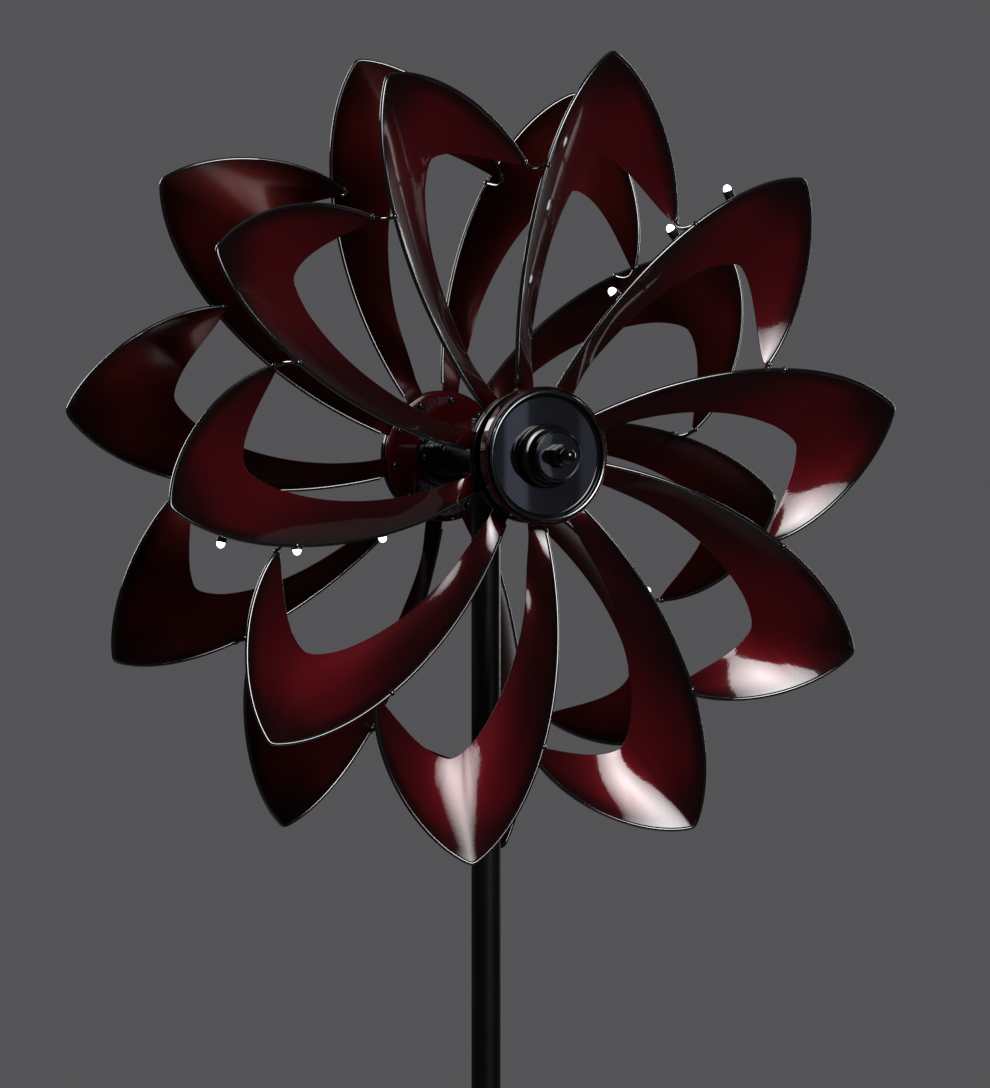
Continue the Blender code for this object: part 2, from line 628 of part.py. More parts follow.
def add_stake(looks):
    """The step plate with its socket and four prongs."""
    length, width, thick = STEP_PLATE
    plate = box("step_plate", (-length / 2, -width / 2, 0), (length / 2, width / 2, thick))
    socket = cylinder("socket", SOCKET_RADIUS, (0, 0, thick * 0.5), (0, 0, thick + SOCKET_HEIGHT))
    joined = [socket]
    for x in (-1, 1):
        for y in (-1, 1):
            spot = Vector((x * PRONG_PLACE[0], y * PRONG_PLACE[1], 0))
            shoulder = spot - Vector((0, 0, PRONG_LENGTH - PRONG_TAPER))
            root = spot + Vector((0, 0, thick * 0.6))
            joined.append(cylinder("prong", PRONG_RADIUS, root, shoulder, segments=8))
            tip = shoulder - Vector((0, 0, PRONG_TAPER))
            joined.append(cylinder("point", PRONG_RADIUS * 0.98, shoulder + Vector((0, 0, 0.001)), tip,
                                   segments=8, tip_radius=0.0005))
    bore = cylinder("socket_bore", POLE_RADIUS + GAP, (0, 0, thick), (0, 0, 2 * SOCKET_HEIGHT), segments=16)
    place("ground_stake", combined("ground_stake", plate, joined=joined, cut=[bore]), looks["black"])


def main():
    global parts, cutters
    clear_scene()
    parts = new_collection("wind_spinner")
    cutters = new_collection("cutters", hidden=True)
    looks = {
        "red": material("candy_red", (0.30, 0.01, 0.015), 0.6, 0.25),
        "dark_red": material("candy_red_dark", (0.16, 0.006, 0.01), 0.6, 0.28),
        "black": material("satin_black", (0.012, 0.012, 0.014), 0.2, 0.35),
        "gloss_black": material("gloss_black", (0.01, 0.01, 0.012), 0.3, 0.12),
        "chrome": material("dark_chrome", (0.35, 0.35, 0.37), 1.0, 0.15),
        "steel": material("steel", (0.55, 0.55, 0.56), 1.0, 0.3),
        "copper": material("copper_wire", (0.60, 0.25, 0.12), 1.0, 0.35),
        "wire": material("black_wire", (0.02, 0.02, 0.02), 0.0, 0.5),
        "lens": material("lamp_lens", (0.85, 0.88, 1.0), 0.0, 0.1),
    }
    add_stake(looks)
    add_pole(looks)
    add_set_screw(looks)
    stand_axis = axis_empty("axle_axis")
    add_axle(looks, stand_axis)
    front_axis = axis_empty("front_rotor_axis")
    add_hub("front", -1, FRONT_PHASE, looks, front_axis)
    add_front_covers(looks, front_axis)
    add_petals("front", -1, FRONT_PHASE, looks["red"], front_axis)
    add_lamps(looks, front_axis)
    rear_axis = axis_empty("rear_rotor_axis")
    add_hub("rear", 1, REAR_PHASE, looks, rear_axis)
    add_rear_cap(looks, rear_axis)
    add_petals("rear", 1, REAR_PHASE, looks["dark_red"], rear_axis)


main()
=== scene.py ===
"""The look of the twin-rotor garden wind spinner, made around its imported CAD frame.

Finer pieces stand in the CAD nodes' places, each with its own material, and a floor, lights and
a camera are added. Metres, +Z up. The front rotor, which carries the lamps, faces -Y.
"""
from math import cos, exp, pi, radians, sin, sqrt, tau

import bmesh
import bpy
from mathutils import Matrix, Vector, noise


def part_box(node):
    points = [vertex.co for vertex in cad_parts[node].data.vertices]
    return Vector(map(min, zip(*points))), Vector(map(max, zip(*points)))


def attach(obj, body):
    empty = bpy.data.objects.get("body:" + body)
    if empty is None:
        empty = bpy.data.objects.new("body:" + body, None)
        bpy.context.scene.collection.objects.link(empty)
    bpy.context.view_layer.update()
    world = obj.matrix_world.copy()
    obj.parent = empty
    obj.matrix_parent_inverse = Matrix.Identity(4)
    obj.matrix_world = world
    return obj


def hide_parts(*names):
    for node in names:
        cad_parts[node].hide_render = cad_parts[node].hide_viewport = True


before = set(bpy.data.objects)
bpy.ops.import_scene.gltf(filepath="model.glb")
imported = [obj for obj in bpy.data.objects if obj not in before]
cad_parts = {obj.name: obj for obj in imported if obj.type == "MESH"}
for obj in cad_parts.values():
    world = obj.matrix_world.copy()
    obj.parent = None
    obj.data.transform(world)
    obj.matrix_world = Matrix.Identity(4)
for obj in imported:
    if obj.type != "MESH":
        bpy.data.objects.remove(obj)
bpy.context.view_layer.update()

# ---- sizes read from the frame


def reach(node):
    """A node's nearest and furthest distance from the pole's middle plane, along the axle."""
    low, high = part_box(node)
    return sorted((abs(low.y), abs(high.y)))


def half_width(node):
    """Half a node's size along X: the radius of a round piece."""
    low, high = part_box(node)
    return (high.x - low.x) / 2


AXLE_HEIGHT = (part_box("axle")[0].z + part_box("axle")[1].z) / 2
HUB = Vector((0, 0, AXLE_HEIGHT))
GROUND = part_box("ground_stake")[0].z
BARREL = reach("front_hub_barrel")
PLATE = reach("front_hub_plate")
CLAMP_OUTSIDE = reach("front_clamp_ring")[1]
DRUM = reach("front_drum")
CAP_RIM = reach("front_cap")[1]
BOSS_FRONT = reach("front_boss")[1]
BALL_FRONT = reach("finial_nut")[1]
REAR_CAP = reach("rear_cap")
REAR_NUT = reach("rear_axle_nut")
PLATE_RADIUS = half_width("front_hub_plate")
DRUM_RADIUS = half_width("front_drum")
CAP_RADIUS = half_width("front_cap")
TRIM_RADIUS = half_width("trim_ring")
FLANGE_RADIUS = half_width("front_hub_barrel")
POLE_RADIUS = half_width("middle_pole")
JOINT_HEIGHTS = (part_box("lower_pole")[1].z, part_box("middle_pole")[1].z)
POLE_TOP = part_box("pole_cap")[1].z

# ---- sizes shared with the CAD

ROTOR_RADIUS = 0.305
PETALS = 10
FRONT_PHASE = 79.0  # degrees from +X up to +Z, of the first front petal's tip
REAR_PHASE = 137.9
TAB_DEPTH = 0.071  # distance of the petals' bolted ends from the pole's middle plane
TAB_INNER_RADIUS = 0.036
TAB_WIDTH = 0.014
TAB_ANGLE = 16.0
STUD_CIRCLE = 0.043
AXLE_RADIUS = 0.005
AXLE_SHOULDER = 0.05
SHOULDER_RADIUS = 0.007
THREAD_RADIUS = 0.004
FRONT_THREAD, REAR_THREAD = 0.1, 0.085  # where the axle's thin threaded ends start
BARREL_RADIUS = 0.014
FLANGE_THICKNESS = 0.003
CLAMP_BORE = 0.032
CLAMP_INSIDE = 0.0721
COVER_WALL = 0.0012
COVER_BORE = 0.006
DRUM_BACK = 0.0855  # where the drum widens from its neck
DRUM_BORE = 0.016
DRUM_NECK_RADIUS = 0.034
BOSS_NECK = 0.103  # where the boss narrows
BOSS_NECK_RADIUS = 0.0192
NUT_FRONT = 0.1222
NUT_CORNER_RADIUS = 0.0088
BALL_RADIUS = 0.006
REAR_NUT_CORNER_RADIUS = 0.008
POLE_BORE = 0.0098
SPIGOT_RADIUS = 0.0093
SPIGOT_BORE = 0.0082
SPIGOT_LENGTH = 0.045
SLEEVE_RADIUS = 0.0125
LAMP_PETALS = (2, 5, 8)
LAMP_PLACES = {"inner": (0.456, 0.011), "middle": (0.676, 0.019), "outer": (0.857, 0.024)}
LAMP_RADIUS = 0.0042
LAMP_LENGTH = 0.009
LENS_LENGTH = 0.0045
WIRE_RADIUS = 0.0009
STEP_PLATE = (0.17, 0.09, 0.005)
SOCKET_HEIGHT = 0.08
SOCKET_RADIUS = 0.014
PRONG_RADIUS = 0.004
PRONG_PLACE = (0.07, 0.033)

# A petal's outline: along, across and in front, each as a share of the rotor's radius
RIM = ((0.157, 0.069, 0.233), (0.499, 0.191, 0.315),
       (0.87, 0.143, 0.322), (1.007, -0.001, 0.2945))
BARB = ((1.007, -0.001, 0.2945), (0.985, -0.118, 0.261),
        (0.828, -0.272, 0.215), (0.655, -0.298, 0.2135))
STEM_INNER = ((0.17, 0.025, 0.233), (0.3, 0.065, 0.233),
              (0.57, 0.085, 0.239), (0.757, -0.045, 0.217))
BARB_INNER = ((0.757, -0.045, 0.217), (0.79, -0.12, 0.194),
              (0.675, -0.235, 0.195), (0.648, -0.29, 0.209))
CORNER = 0.9  # where the window's rounded corner starts on the stem's inner edge
STEM_SHARE = 0.78  # of the rim that faces the stem's inner edge
TIP_SHARE = 0.35  # of the barb's outer edge that faces the window's corner
LINK_MEETS = 0.54  # of the next petal's rim, where this petal's link ends

# ---- the finer surface

TIP_ROUND = 0.025  # share of the rim and of the barb taken by the tip's round corner
SHEET = 0.001
RIM_ROD = 0.0015
CUPS = (0.04, 0.02, 0.03)  # depth at a petal's stem, tip and barb, as a share of its width
FOLD_HEIGHT = 0.003  # of the fold from the tip to the window, as a share of the width
FOLD_WIDTH = 0.045
STEM_LEAN = 0.105  # how much further back the stem's inner edge lies, as a share of the width
STEM_LEAN_AT, STEM_LEAN_WIDTH = 0.16, 0.12
ROWS = 112  # faces along a petal
COLUMNS = 10  # faces across a petal
SMOOTH = 96  # segments of a turned piece
SHARP_ANGLE = 38.0
GAP = 0.0004  # between pieces that touch or are fastened
THREAD_PITCH = 0.0008
THREAD_DEPTH = 0.0004
TAPER = 0.032  # length of a prong's point
WIRE_START = 0.03  # share of the rim where the wire comes out of the hub
WIRE_LIFT = 0.0024  # from the middle of the petal's sheet to the wire


# ---- shapes

def quadratic(start, bend, end, t):
    """The point at t, from 0 to 1, of a curve that leans towards its bend."""
    return start * (1 - t) ** 2 + bend * 2 * t * (1 - t) + end * t**2


def cubic(a, b, c, d, t):
    """The point at t, from 0 to 1, of a curve from a to d that leans towards b and c."""
    rest = 1.0 - t
    return a * rest**3 + b * 3 * rest**2 * t + c * 3 * rest * t**2 + d * t**3


def turns(count):
    """Angles evenly spaced round a circle."""
    return [tau * k / count for k in range(count)]


def softened(profile, radius, closed=True, steps=3):
    """The profile with its corners rounded."""
    count = len(profile)
    made = []
    for i, corner in enumerate(profile):
        if not closed and i in (0, count - 1):
            made.append(corner)
            continue
        here = Vector(corner)
        back, ahead = Vector(profile[i - 1]) - here, Vector(profile[(i + 1) % count]) - here
        size = min(radius, 0.45 * back.length, 0.45 * ahead.length)
        start, end = here + back.normalized() * size, here + ahead.normalized() * size
        made += [tuple(quadratic(start, here, end, k / steps)) for k in range(steps + 1)]
    return made


def turn_profile(bm, profile, axis="Y", closed=True, segments=SMOOTH, at=(0, 0, 0)):
    """Turns a profile of (radius, distance along the axis) about the axis through a point."""
    def corner(x, y, along):
        spot = (x, along, y) if axis == "Y" else (x, y, along)
        return bm.verts.new(Vector(spot) + Vector(at))

    rings = []
    for radius, along in profile:
        if radius < 1e-7:
            rings.append([corner(0, 0, along)] * segments)
        else:
            rings.append([corner(radius * cos(a), radius * sin(a), along)
                          for a in turns(segments)])
    skin(bm, rings, closed)


def frames_along(path):
    """A normal and a binormal at each point of a path, turning as little as they can."""
    tangents = []
    for i in range(len(path)):
        before, after = path[max(i - 1, 0)], path[min(i + 1, len(path) - 1)]
        tangents.append((after - before).normalized())
    normal = tangents[0].orthogonal().normalized()
    made = []
    for tangent in tangents:
        normal = (normal - tangent * normal.dot(tangent)).normalized()
        made.append((normal, tangent.cross(normal)))
    return made


def ring_of(bm, centre, across, up, sides):
    """New corners round a point, in the plane of two directions whose lengths are the radii."""
    return [bm.verts.new(centre + across * cos(a) + up * sin(a)) for a in turns(sides)]


def skin(bm, rings, closed=False):
    """Faces from each ring to the next, and from the last to the first if closed."""
    sides = len(rings[0])
    for low, high in zip(rings, rings[1:] + (rings[:1] if closed else [])):
        for k in range(sides):
            n = (k + 1) % sides
            corners = list(dict.fromkeys((low[k], low[n], high[n], high[k])))
            if len(corners) > 2:
                bm.faces.new(corners)


def sweep(bm, path, radius, sides=12, flatten=1.0):
    """A round or flattened rod along a path, with closed ends."""
    rings = []
    for point, (normal, binormal) in zip(path, frames_along(path)):
        rings.append(ring_of(bm, point, normal * radius, binormal * radius * flatten, sides))
    skin(bm, rings)
    bm.faces.new(rings[0])
    bm.faces.new(reversed(rings[-1]))


def weld_ring(bm, path, radius, sides=8, ripple=0.18):
    """A closed weld seam along a loop of points, with its ripples."""
    rings = []
    count = len(path)
    for i, point in enumerate(path):
        tangent = (path[(i + 1) % count] - path[i - 1]).normalized()
        side = tangent.cross(Vector((0.31, 0.17, 0.93))).normalized()
        up = tangent.cross(side)
        size = radius * (1 + ripple * sin(i * 2.1) + 0.5 * ripple * noise.noise(point * 400))
        rings.append(ring_of(bm, point, side * size, up * size, sides))
    skin(bm, rings, closed=True)


def bead(bm, centre, radius):
    """A small uneven weld bead."""
    made = bmesh.ops.create_icosphere(bm, subdivisions=2, radius=radius)["verts"]
    for vert in made:
        vert.co *= 1 + 0.16 * noise.noise(vert.co * 900 + centre * 60)
        vert.co += centre


def hexagon(bm, across_corners, low, high, soften=0.0006):
    """A hexagon bar on the Y axis with softened edges."""
    made = bmesh.ops.create_cone(bm, cap_ends=True, segments=6, radius1=across_corners,
                                 radius2=across_corners, depth=high - low)["verts"]
    turn = Matrix.Translation((0, (low + high) / 2, 0)) @ Matrix.Rotation(radians(90), 4, "X")
    bmesh.ops.transform(bm, matrix=turn, verts=made)
    edges = list({edge for vert in made for edge in vert.link_edges})
    bmesh.ops.bevel(bm, geom=edges, offset=soften, segments=3, profile=0.5, affect="EDGES")


def mesh_from(bm, name):
    """The finished mesh, smooth except at its sharp edges."""
    bmesh.ops.recalc_face_normals(bm, faces=bm.faces)
    mesh = bpy.data.meshes.new(name)
    bm.to_mesh(mesh)
    bm.free()
    mesh.shade_smooth()
    mesh.set_sharp_from_angle(angle=radians(SHARP_ANGLE))
    return mesh


def linked(name, data):
    """A new object in the scene."""
    obj = bpy.data.objects.new(name, data)
    bpy.context.scene.collection.objects.link(obj)
    return obj


def even_shading(obj):
    """Keeps flat faces flat where they meet rounded edges."""
    obj.modifiers.new("normals", "WEIGHTED_NORMAL").keep_sharp = True


def add_piece(name, mesh, look, body, node, matrix=None, even=True):
    """A finished piece: placed, painted, riding on a body and standing for a CAD node."""
    obj = linked(name, mesh)
    if not mesh.materials:
        mesh.materials.append(LOOKS[look])
    obj.matrix_world = matrix or Matrix.Translation(HUB)
    bpy.context.view_layer.update()
    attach(obj, body)
    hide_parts(node)
    if even:
        even_shading(obj)
    return obj


def combined(base, joined, cut):
    """One mesh: the base with one mesh joined to it and another cut from it."""
    body = linked("base", base)
    tools = []
    for operation, mesh in (("UNION", joined), ("DIFFERENCE", cut)):
        tools.append(linked("tool", mesh))
        modifier = body.modifiers.new(operation, "BOOLEAN")
        modifier.operation = operation
        modifier.solver = "EXACT"
        modifier.object = tools[-1]
    graph = bpy.context.evaluated_depsgraph_get()
    made = bpy.data.meshes.new_from_object(body.evaluated_get(graph))
    for obj in (body, *tools):
        bpy.data.objects.remove(obj, do_unlink=True)
    return made


def turned_mesh(name, profile, axis="Y", side=1, soften=0.0004, closed=True, segments=SMOOTH):
    """A profile with its corners rounded, turned about its axis on one side of the pole."""
    bm = bmesh.new()
    spots = [(radius, side * along) for radius, along in softened(profile, soften, closed)]
    turn_profile(bm, spots, axis, closed, segments)
    return mesh_from(bm, name)


def add_turned(name, profile, look, body, node, slot=None, **how):
    """A turned piece on the axle."""
    add_piece(name, turned_mesh(name, profile, **how), look, body, node)


# ---- materials

class Look:
    """A material under construction: a Principled shader with noise for its colour and bumps."""

    def __init__(self, name, **constants):
        self.material = bpy.data.materials.new(name)
        self.material.use_nodes = True
        self.tree = self.material.node_tree
        self.shader = self.tree.nodes["Principled BSDF"]
        for socket, value in constants.items():
            self.shader.inputs[socket.replace("_", " ")].default_value = value
        self.place = self.node("TexCoord").outputs["Object"]

    def node(self, kind, **inputs):
        made = self.tree.nodes.new("ShaderNode" + kind)
        for socket, value in inputs.items():
            made.inputs[socket.replace("_", " ")].default_value = value
        return made

    def link(self, source, target):
        self.tree.links.new(source, target)

    def noise(self, scale, detail=3.0, stretch=(1, 1, 1)):
        mapping = self.node("Mapping", Scale=stretch)
        texture = self.node("TexNoise", Scale=scale, Detail=detail)
        self.link(self.place, mapping.inputs["Vector"])
        self.link(mapping.outputs["Vector"], texture.inputs["Vector"])
        return texture.outputs["Fac"]

    def ramp(self, source, *stops):
        """Colours at places along a value from 0 to 1."""
        made = self.node("ValToRGB")
        band = made.color_ramp
        while len(band.elements) < len(stops):
            band.elements.new(0.5)
        for element, (spot, color) in zip(band.elements, stops):
            element.position = spot
            element.color = (*color, 1) if len(color) == 3 else color
        self.link(source, made.inputs["Fac"])
        return made.outputs["Color"]

    def math(self, operation, first, second):
        made = self.node("Math")
        made.operation = operation
        for socket, value in zip(made.inputs, (first, second)):
            if isinstance(value, (int, float)):
                socket.default_value = value
            else:
                self.link(value, socket)
        return made.outputs["Value"]

    def color(self, source):
        self.link(source, self.shader.inputs["Base Color"])

    def roughness(self, source, low, high):
        spread = self.node("MapRange", To_Min=low, To_Max=high)
        self.link(source, spread.inputs["Value"])
        self.link(spread.outputs["Result"], self.shader.inputs["Roughness"])

    def bump(self, height, strength, distance, coat=False):
        made = self.node("Bump", Strength=strength, Distance=distance)
        self.link(height, made.inputs["Height"])
        self.link(made.outputs["Normal"], self.shader.inputs["Normal"])
        if coat:
            self.link(made.outputs["Normal"], self.shader.inputs["Coat Normal"])


def candy_lacquer(name, bright, middle, dark, faded, **constants):
    """Translucent red over metal under clear lacquer, fading to brown black where "fade" falls."""
    look = Look(name, **constants)
    cloud = look.noise(9.0, detail=4.0)
    if faded:
        attribute = look.node("Attribute")
        attribute.attribute_name = "fade"
        drift = look.math("MULTIPLY", look.math("SUBTRACT", cloud, 0.5), 0.3)
        level = look.math("ADD", attribute.outputs["Fac"], drift)
    else:
        level = look.math("ADD", look.math("MULTIPLY", cloud, 0.3), 0.45)
    look.color(look.ramp(level, (0.0, dark), (0.5, middle), (1.0, bright)))
    look.bump(look.noise(420.0, detail=1.0), 0.05, 0.0003, coat=True)
    look.roughness(look.noise(55.0), 0.32, 0.44)
    return look.material


def painted(name, color, roughness, grain, strength, **constants):
    """Black paint or powder coat: slight cloudiness and a fine grain."""
    look = Look(name, **constants)
    lighter = tuple(min(1.0, c * 1.7 + 0.001) for c in color)
    look.color(look.ramp(look.noise(14.0), (0.3, color), (0.8, lighter)))
    look.roughness(look.noise(60.0), roughness * 0.85, roughness * 1.2)
    look.bump(look.noise(grain, detail=2.0), strength, 0.0003)
    return look.material


def metal(name, color, roughness, stretch=(1, 1, 1), strength=0.05):
    """Plated or turned metal with tool marks along one direction."""
    look = Look(name, Metallic=1.0)
    darker = tuple(c * 0.72 for c in color)
    look.color(look.ramp(look.noise(30.0), (0.3, darker), (0.7, color)))
    look.roughness(look.noise(90.0), roughness * 0.75, roughness * 1.3)
    look.bump(look.noise(500.0, stretch=stretch), strength, 0.0002)
    return look.material


def glowing_lens():
    look = Look("lamp_lens", Base_Color=(0.9, 0.93, 1.0, 1), Roughness=0.08, Coat_Weight=1.0,
                Emission_Color=(0.8, 0.86, 1.0, 1), Emission_Strength=5.0)
    look.bump(look.noise(900.0), 0.05, 0.0002)
    return look.material


def copper_winding():
    look = Look("copper_winding", Metallic=1.0)
    wave = look.node("TexWave", Scale=260.0)
    wave.bands_direction = "Y"
    look.link(look.place, wave.inputs["Vector"])
    # Painted shade: the copper darkens in the winding's grooves, where the bump is lowest.
    look.color(look.ramp(wave.outputs["Fac"], (0.0, (0.2, 0.07, 0.03)), (0.6, (0.62, 0.26, 0.12))))
    look.roughness(look.noise(80.0), 0.28, 0.4)
    look.bump(wave.outputs["Fac"], 0.5, 0.0004)
    return look.material


def make_looks():
    """Every material by the name that add_piece takes."""
    deep_red, clear = (0.35, 0.03, 0.05, 1), dict(Coat_Weight=1.0, Metallic=0.4)
    return {
        "front_petal_red": candy_lacquer(
            "candy_red_front", (0.105, 0.0028, 0.006), (0.03, 0.0014, 0.0022),
            (0.003, 0.0018, 0.0016), faded=True, Specular_Tint=deep_red, Coat_Roughness=0.06,
            Coat_IOR=1.7, **clear),
        # Painted shade: the rear petals wear the same paint as the front ones; these darker,
        # browner colours paint in the lesser light that reaches them behind the front rotor.
        "rear_petal_red": candy_lacquer(
            "candy_red_rear_shaded", (0.056, 0.0048, 0.0044), (0.022, 0.0026, 0.0022),
            (0.006, 0.0034, 0.0024), faded=True, Specular_Tint=(0.3, 0.04, 0.04, 1),
            Coat_Roughness=0.14, Coat_IOR=1.45, Coat_Weight=0.14, Metallic=0.3),
        "hub_red": candy_lacquer(
            "candy_red_hub", (0.075, 0.0024, 0.0045), (0.032, 0.0014, 0.0022),
            (0.008, 0.0012, 0.0014), faded=False, Specular_Tint=deep_red, Coat_Roughness=0.04,
            Coat_IOR=1.5, **clear),
        "satin_black": painted(
            "satin_black", (0.0034, 0.0034, 0.0038), 0.32, 700.0, 0.1, Specular_IOR_Level=0.35,
            Coat_Weight=0.25, Coat_Roughness=0.14),
        "gloss_black": painted(
            "gloss_black", (0.003, 0.003, 0.0036), 0.09, 300.0, 0.03, Specular_IOR_Level=0.4,
            Coat_Weight=0.8, Coat_Roughness=0.02),
        "rim_black": painted(
            "rim_black", (0.003, 0.003, 0.0034), 0.1, 300.0, 0.03, Coat_Weight=1.0,
            Coat_Roughness=0.04, Coat_IOR=2.1),
        "dark_chrome": metal("dark_chrome", (0.26, 0.27, 0.3), 0.14, strength=0.02),
        "zinc_steel": metal("zinc_steel", (0.55, 0.55, 0.56), 0.28, stretch=(1, 6, 1)),
        "coil_copper": copper_winding(),
        "lamp_wire": painted("wire_sheath", (0.01, 0.01, 0.01), 0.45, 900.0, 0.1),
        "lamp_body": painted("lamp_plastic", (0.012, 0.012, 0.013), 0.34, 800.0, 0.12),
        "lens": glowing_lens(),
    }


LOOKS = make_looks()


# ---- the petal's surface

def bezier(points, share):
    """The point at a share of one of the petal's edges, in metres."""
    return cubic(*(Vector(p) * ROTOR_RADIUS for p in points), share)


def smooth_step(low, high, value):
    """0 up to low, 1 from high on, and a smooth rise between."""
    t = min(1.0, max(0.0, (value - low) / (high - low)))
    return t * t * (3 - 2 * t)


def hump(value, middle, width):
    """1 in the middle, falling away on both sides."""
    return exp(-((value - middle) / width) ** 2)


def outer_edge(s):
    """The rim from the hub to the tip (s 0 to 1), then the barb's outer edge (1 to 2)."""
    if abs(s - 1.0) < TIP_ROUND:
        start, end = bezier(RIM, 1.0 - TIP_ROUND), bezier(BARB, TIP_ROUND)
        return quadratic(start, bezier(RIM, 1.0), end, (s - 1.0 + TIP_ROUND) / (2 * TIP_ROUND))
    return bezier(RIM, s) if s <= 1.0 else bezier(BARB, s - 1.0)


def inner_edge(s):
    """The edge of the petal's window that faces outer_edge(s), with a rounded corner."""
    if s <= STEM_SHARE:
        return bezier(STEM_INNER, CORNER * s / STEM_SHARE)
    if s >= 1.0 + TIP_SHARE:
        share = (s - 1.0 - TIP_SHARE) / (1.0 - TIP_SHARE)
        return bezier(BARB_INNER, 1.0 - CORNER + CORNER * share)
    turn = (s - STEM_SHARE) / (1.0 + TIP_SHARE - STEM_SHARE)
    start, end = bezier(STEM_INNER, CORNER), bezier(BARB_INNER, 1.0 - CORNER)
    return quadratic(start, bezier(STEM_INNER, 1.0), end, turn)


def cup_at(s):
    """The depth of the hollow: flat at the hub, deepest in the stem and least at the tip."""
    stem, tip, barb = CUPS
    depth = stem + (tip - stem) * smooth_step(0.6, 1.0, s) + (barb - tip) * smooth_step(1.0, 1.4, s)
    return depth * min(1.0, 4.0 * s)


def petal_point(s, across):
    """A point of the petal's middle surface: hollow, leaning at the stem, folded at the tip."""
    outer, inner = outer_edge(s), inner_edge(s)
    lean = STEM_LEAN * hump(s, STEM_LEAN_AT, STEM_LEAN_WIDTH) * min(1.0, 12.0 * s)
    inner = inner - Vector((0, 0, lean * (inner - outer).length))
    fold = FOLD_HEIGHT * hump(s, 1.0, FOLD_WIDTH)
    hollow = (cup_at(s) - fold) * (inner - outer).length * sin(pi * across)
    return outer.lerp(inner, across) - Vector((0, 0, hollow))


def to_local(point, side):
    """From (along, across, in front) to a rotor's X, Y and Z, on the side where it sits."""
    return Vector((point.x, side * point.z, point.y))


def petal_turn(phase, number):
    """Where petal 1, 2, 3... stands round the axle, clockwise as seen from the front."""
    turn = Matrix.Rotation(-radians(phase - 360 / PETALS * (number - 1)), 4, "Y")
    return Matrix.Translation(HUB) @ turn


def fade_at(s, across):
    """How bright the red is: fullest in the fan, dark along the rim and at the tip."""
    outer, inner = outer_edge(s), inner_edge(s)
    width = (inner - outer).length
    point = outer.lerp(inner, across)
    from_rim = smooth_step(0.0, min(0.45 * width, 0.015), across * width)
    from_tip = smooth_step(0.002, 0.058, (point - bezier(RIM, 1.0)).length)
    stem = 0.4 + 0.6 * smooth_step(0.42, 0.8, s)
    barb = 1.0 - 0.45 * smooth_step(1.3, 2.0, s)
    return (0.18 + 0.82 * from_rim) * (0.15 + 0.85 * from_tip) * stem * barb


def unevenness(point, number):
    """How far pressed sheet stands off its ideal surface."""
    spot = point * 21.0 + Vector((number * 7.3, number * 2.9, 0.0))
    return 0.00012 * noise.noise(spot) + 0.00002 * noise.noise(spot * 3.1)


def tab_rows():
    """The flat end that is bolted between the hub plate and the clamp ring."""
    turn = radians(TAB_ANGLE)
    along = Vector((cos(turn), sin(turn), 0))
    across = Vector((-sin(turn), cos(turn), 0))
    rows = []
    for radius in (TAB_INNER_RADIUS, (TAB_INNER_RADIUS + STUD_CIRCLE) / 2, STUD_CIRCLE):
        middle = along * radius + Vector((0, 0, TAB_DEPTH))
        rows.append([middle + across * TAB_WIDTH * (0.5 - k / COLUMNS) for k in range(COLUMNS + 1)])
    return rows


def blade_mesh(name, side, number):
    """The petal's sheet: a band round its window, from the bolted tab to the barb's end."""
    rows = [(row, [0.1] * (COLUMNS + 1)) for row in tab_rows()]
    for i in range(ROWS + 1):
        s = 2.0 * i / ROWS
        shares = [k / COLUMNS for k in range(COLUMNS + 1)]
        points = [petal_point(s, share) for share in shares]
        loose = min(1.0, 6 * s)
        for point, share in zip(points, shares):
            point.z += unevenness(point, number) * loose * min(1.0, 4 * share)
        rows.append((points, [fade_at(s, share) for share in shares]))
    bm = bmesh.new()
    fade = bm.verts.layers.float.new("fade")
    grid = []
    for points, levels in rows:
        grid.append([bm.verts.new(to_local(p, side)) for p in points])
        for vert, level in zip(grid[-1], levels):
            vert[fade] = level
    for row, after in zip(grid, grid[1:]):
        for k in range(COLUMNS):
            bm.faces.new((row[k], row[k + 1], after[k + 1], after[k]))
    return mesh_from(bm, name)


def rim_route(side):
    """Round the petal's outer edge, then forward to the next petal's rim, where the link ends."""
    edge_steps, link_steps = 150, 12
    shares = [0.01 + 1.99 * i / edge_steps for i in range(edge_steps + 1)]
    route = [to_local(outer_edge(s), side) for s in shares]
    next_petal = Matrix.Rotation(radians(360 / PETALS), 3, "Y")
    meeting = next_petal @ to_local(outer_edge(LINK_MEETS), side)
    end = route[-1]
    bend = end + (end - route[-4]).normalized() * (meeting - end).length * 0.4
    route += [quadratic(end, bend, meeting, i / link_steps) for i in range(1, link_steps + 1)]
    return route


def rim_mesh(name, side):
    """The rim rod with its link, and the weld beads at the link's two ends."""
    bm = bmesh.new()
    route = rim_route(side)
    sweep(bm, route, RIM_ROD)
    bead(bm, route[-1], 0.0027)
    bead(bm, to_local(outer_edge(2.0), side), 0.0024)
    return mesh_from(bm, name)


def add_petals(rotor, side, phase):
    """A rotor's ten petals, each a sheet blade and a rim rod."""
    body = f"{rotor}_rotor"
    rim = rim_mesh(f"{rotor}_rim", side)
    for number in range(1, PETALS + 1):
        node = f"{rotor}_petal_{number:02d}"
        where = petal_turn(phase, number)
        name = node + "_blade"
        mesh = blade_mesh(name, side, number if side < 0 else number + PETALS)
        blade = add_piece(name, mesh, f"{rotor}_petal_red", body, node, where, even=False)
        sheet = blade.modifiers.new("sheet", "SOLIDIFY")
        sheet.thickness = SHEET
        sheet.offset = 0.0
        edge = blade.modifiers.new("edge", "BEVEL")
        edge.width = SHEET * 0.28
        edge.segments = 2
        edge.limit_method = "ANGLE"
        edge.angle_limit = radians(60)
        even_shading(blade)
        add_piece(node + "_rim", rim, "rim_black", body, node, where, even=False)


# ---- hubs

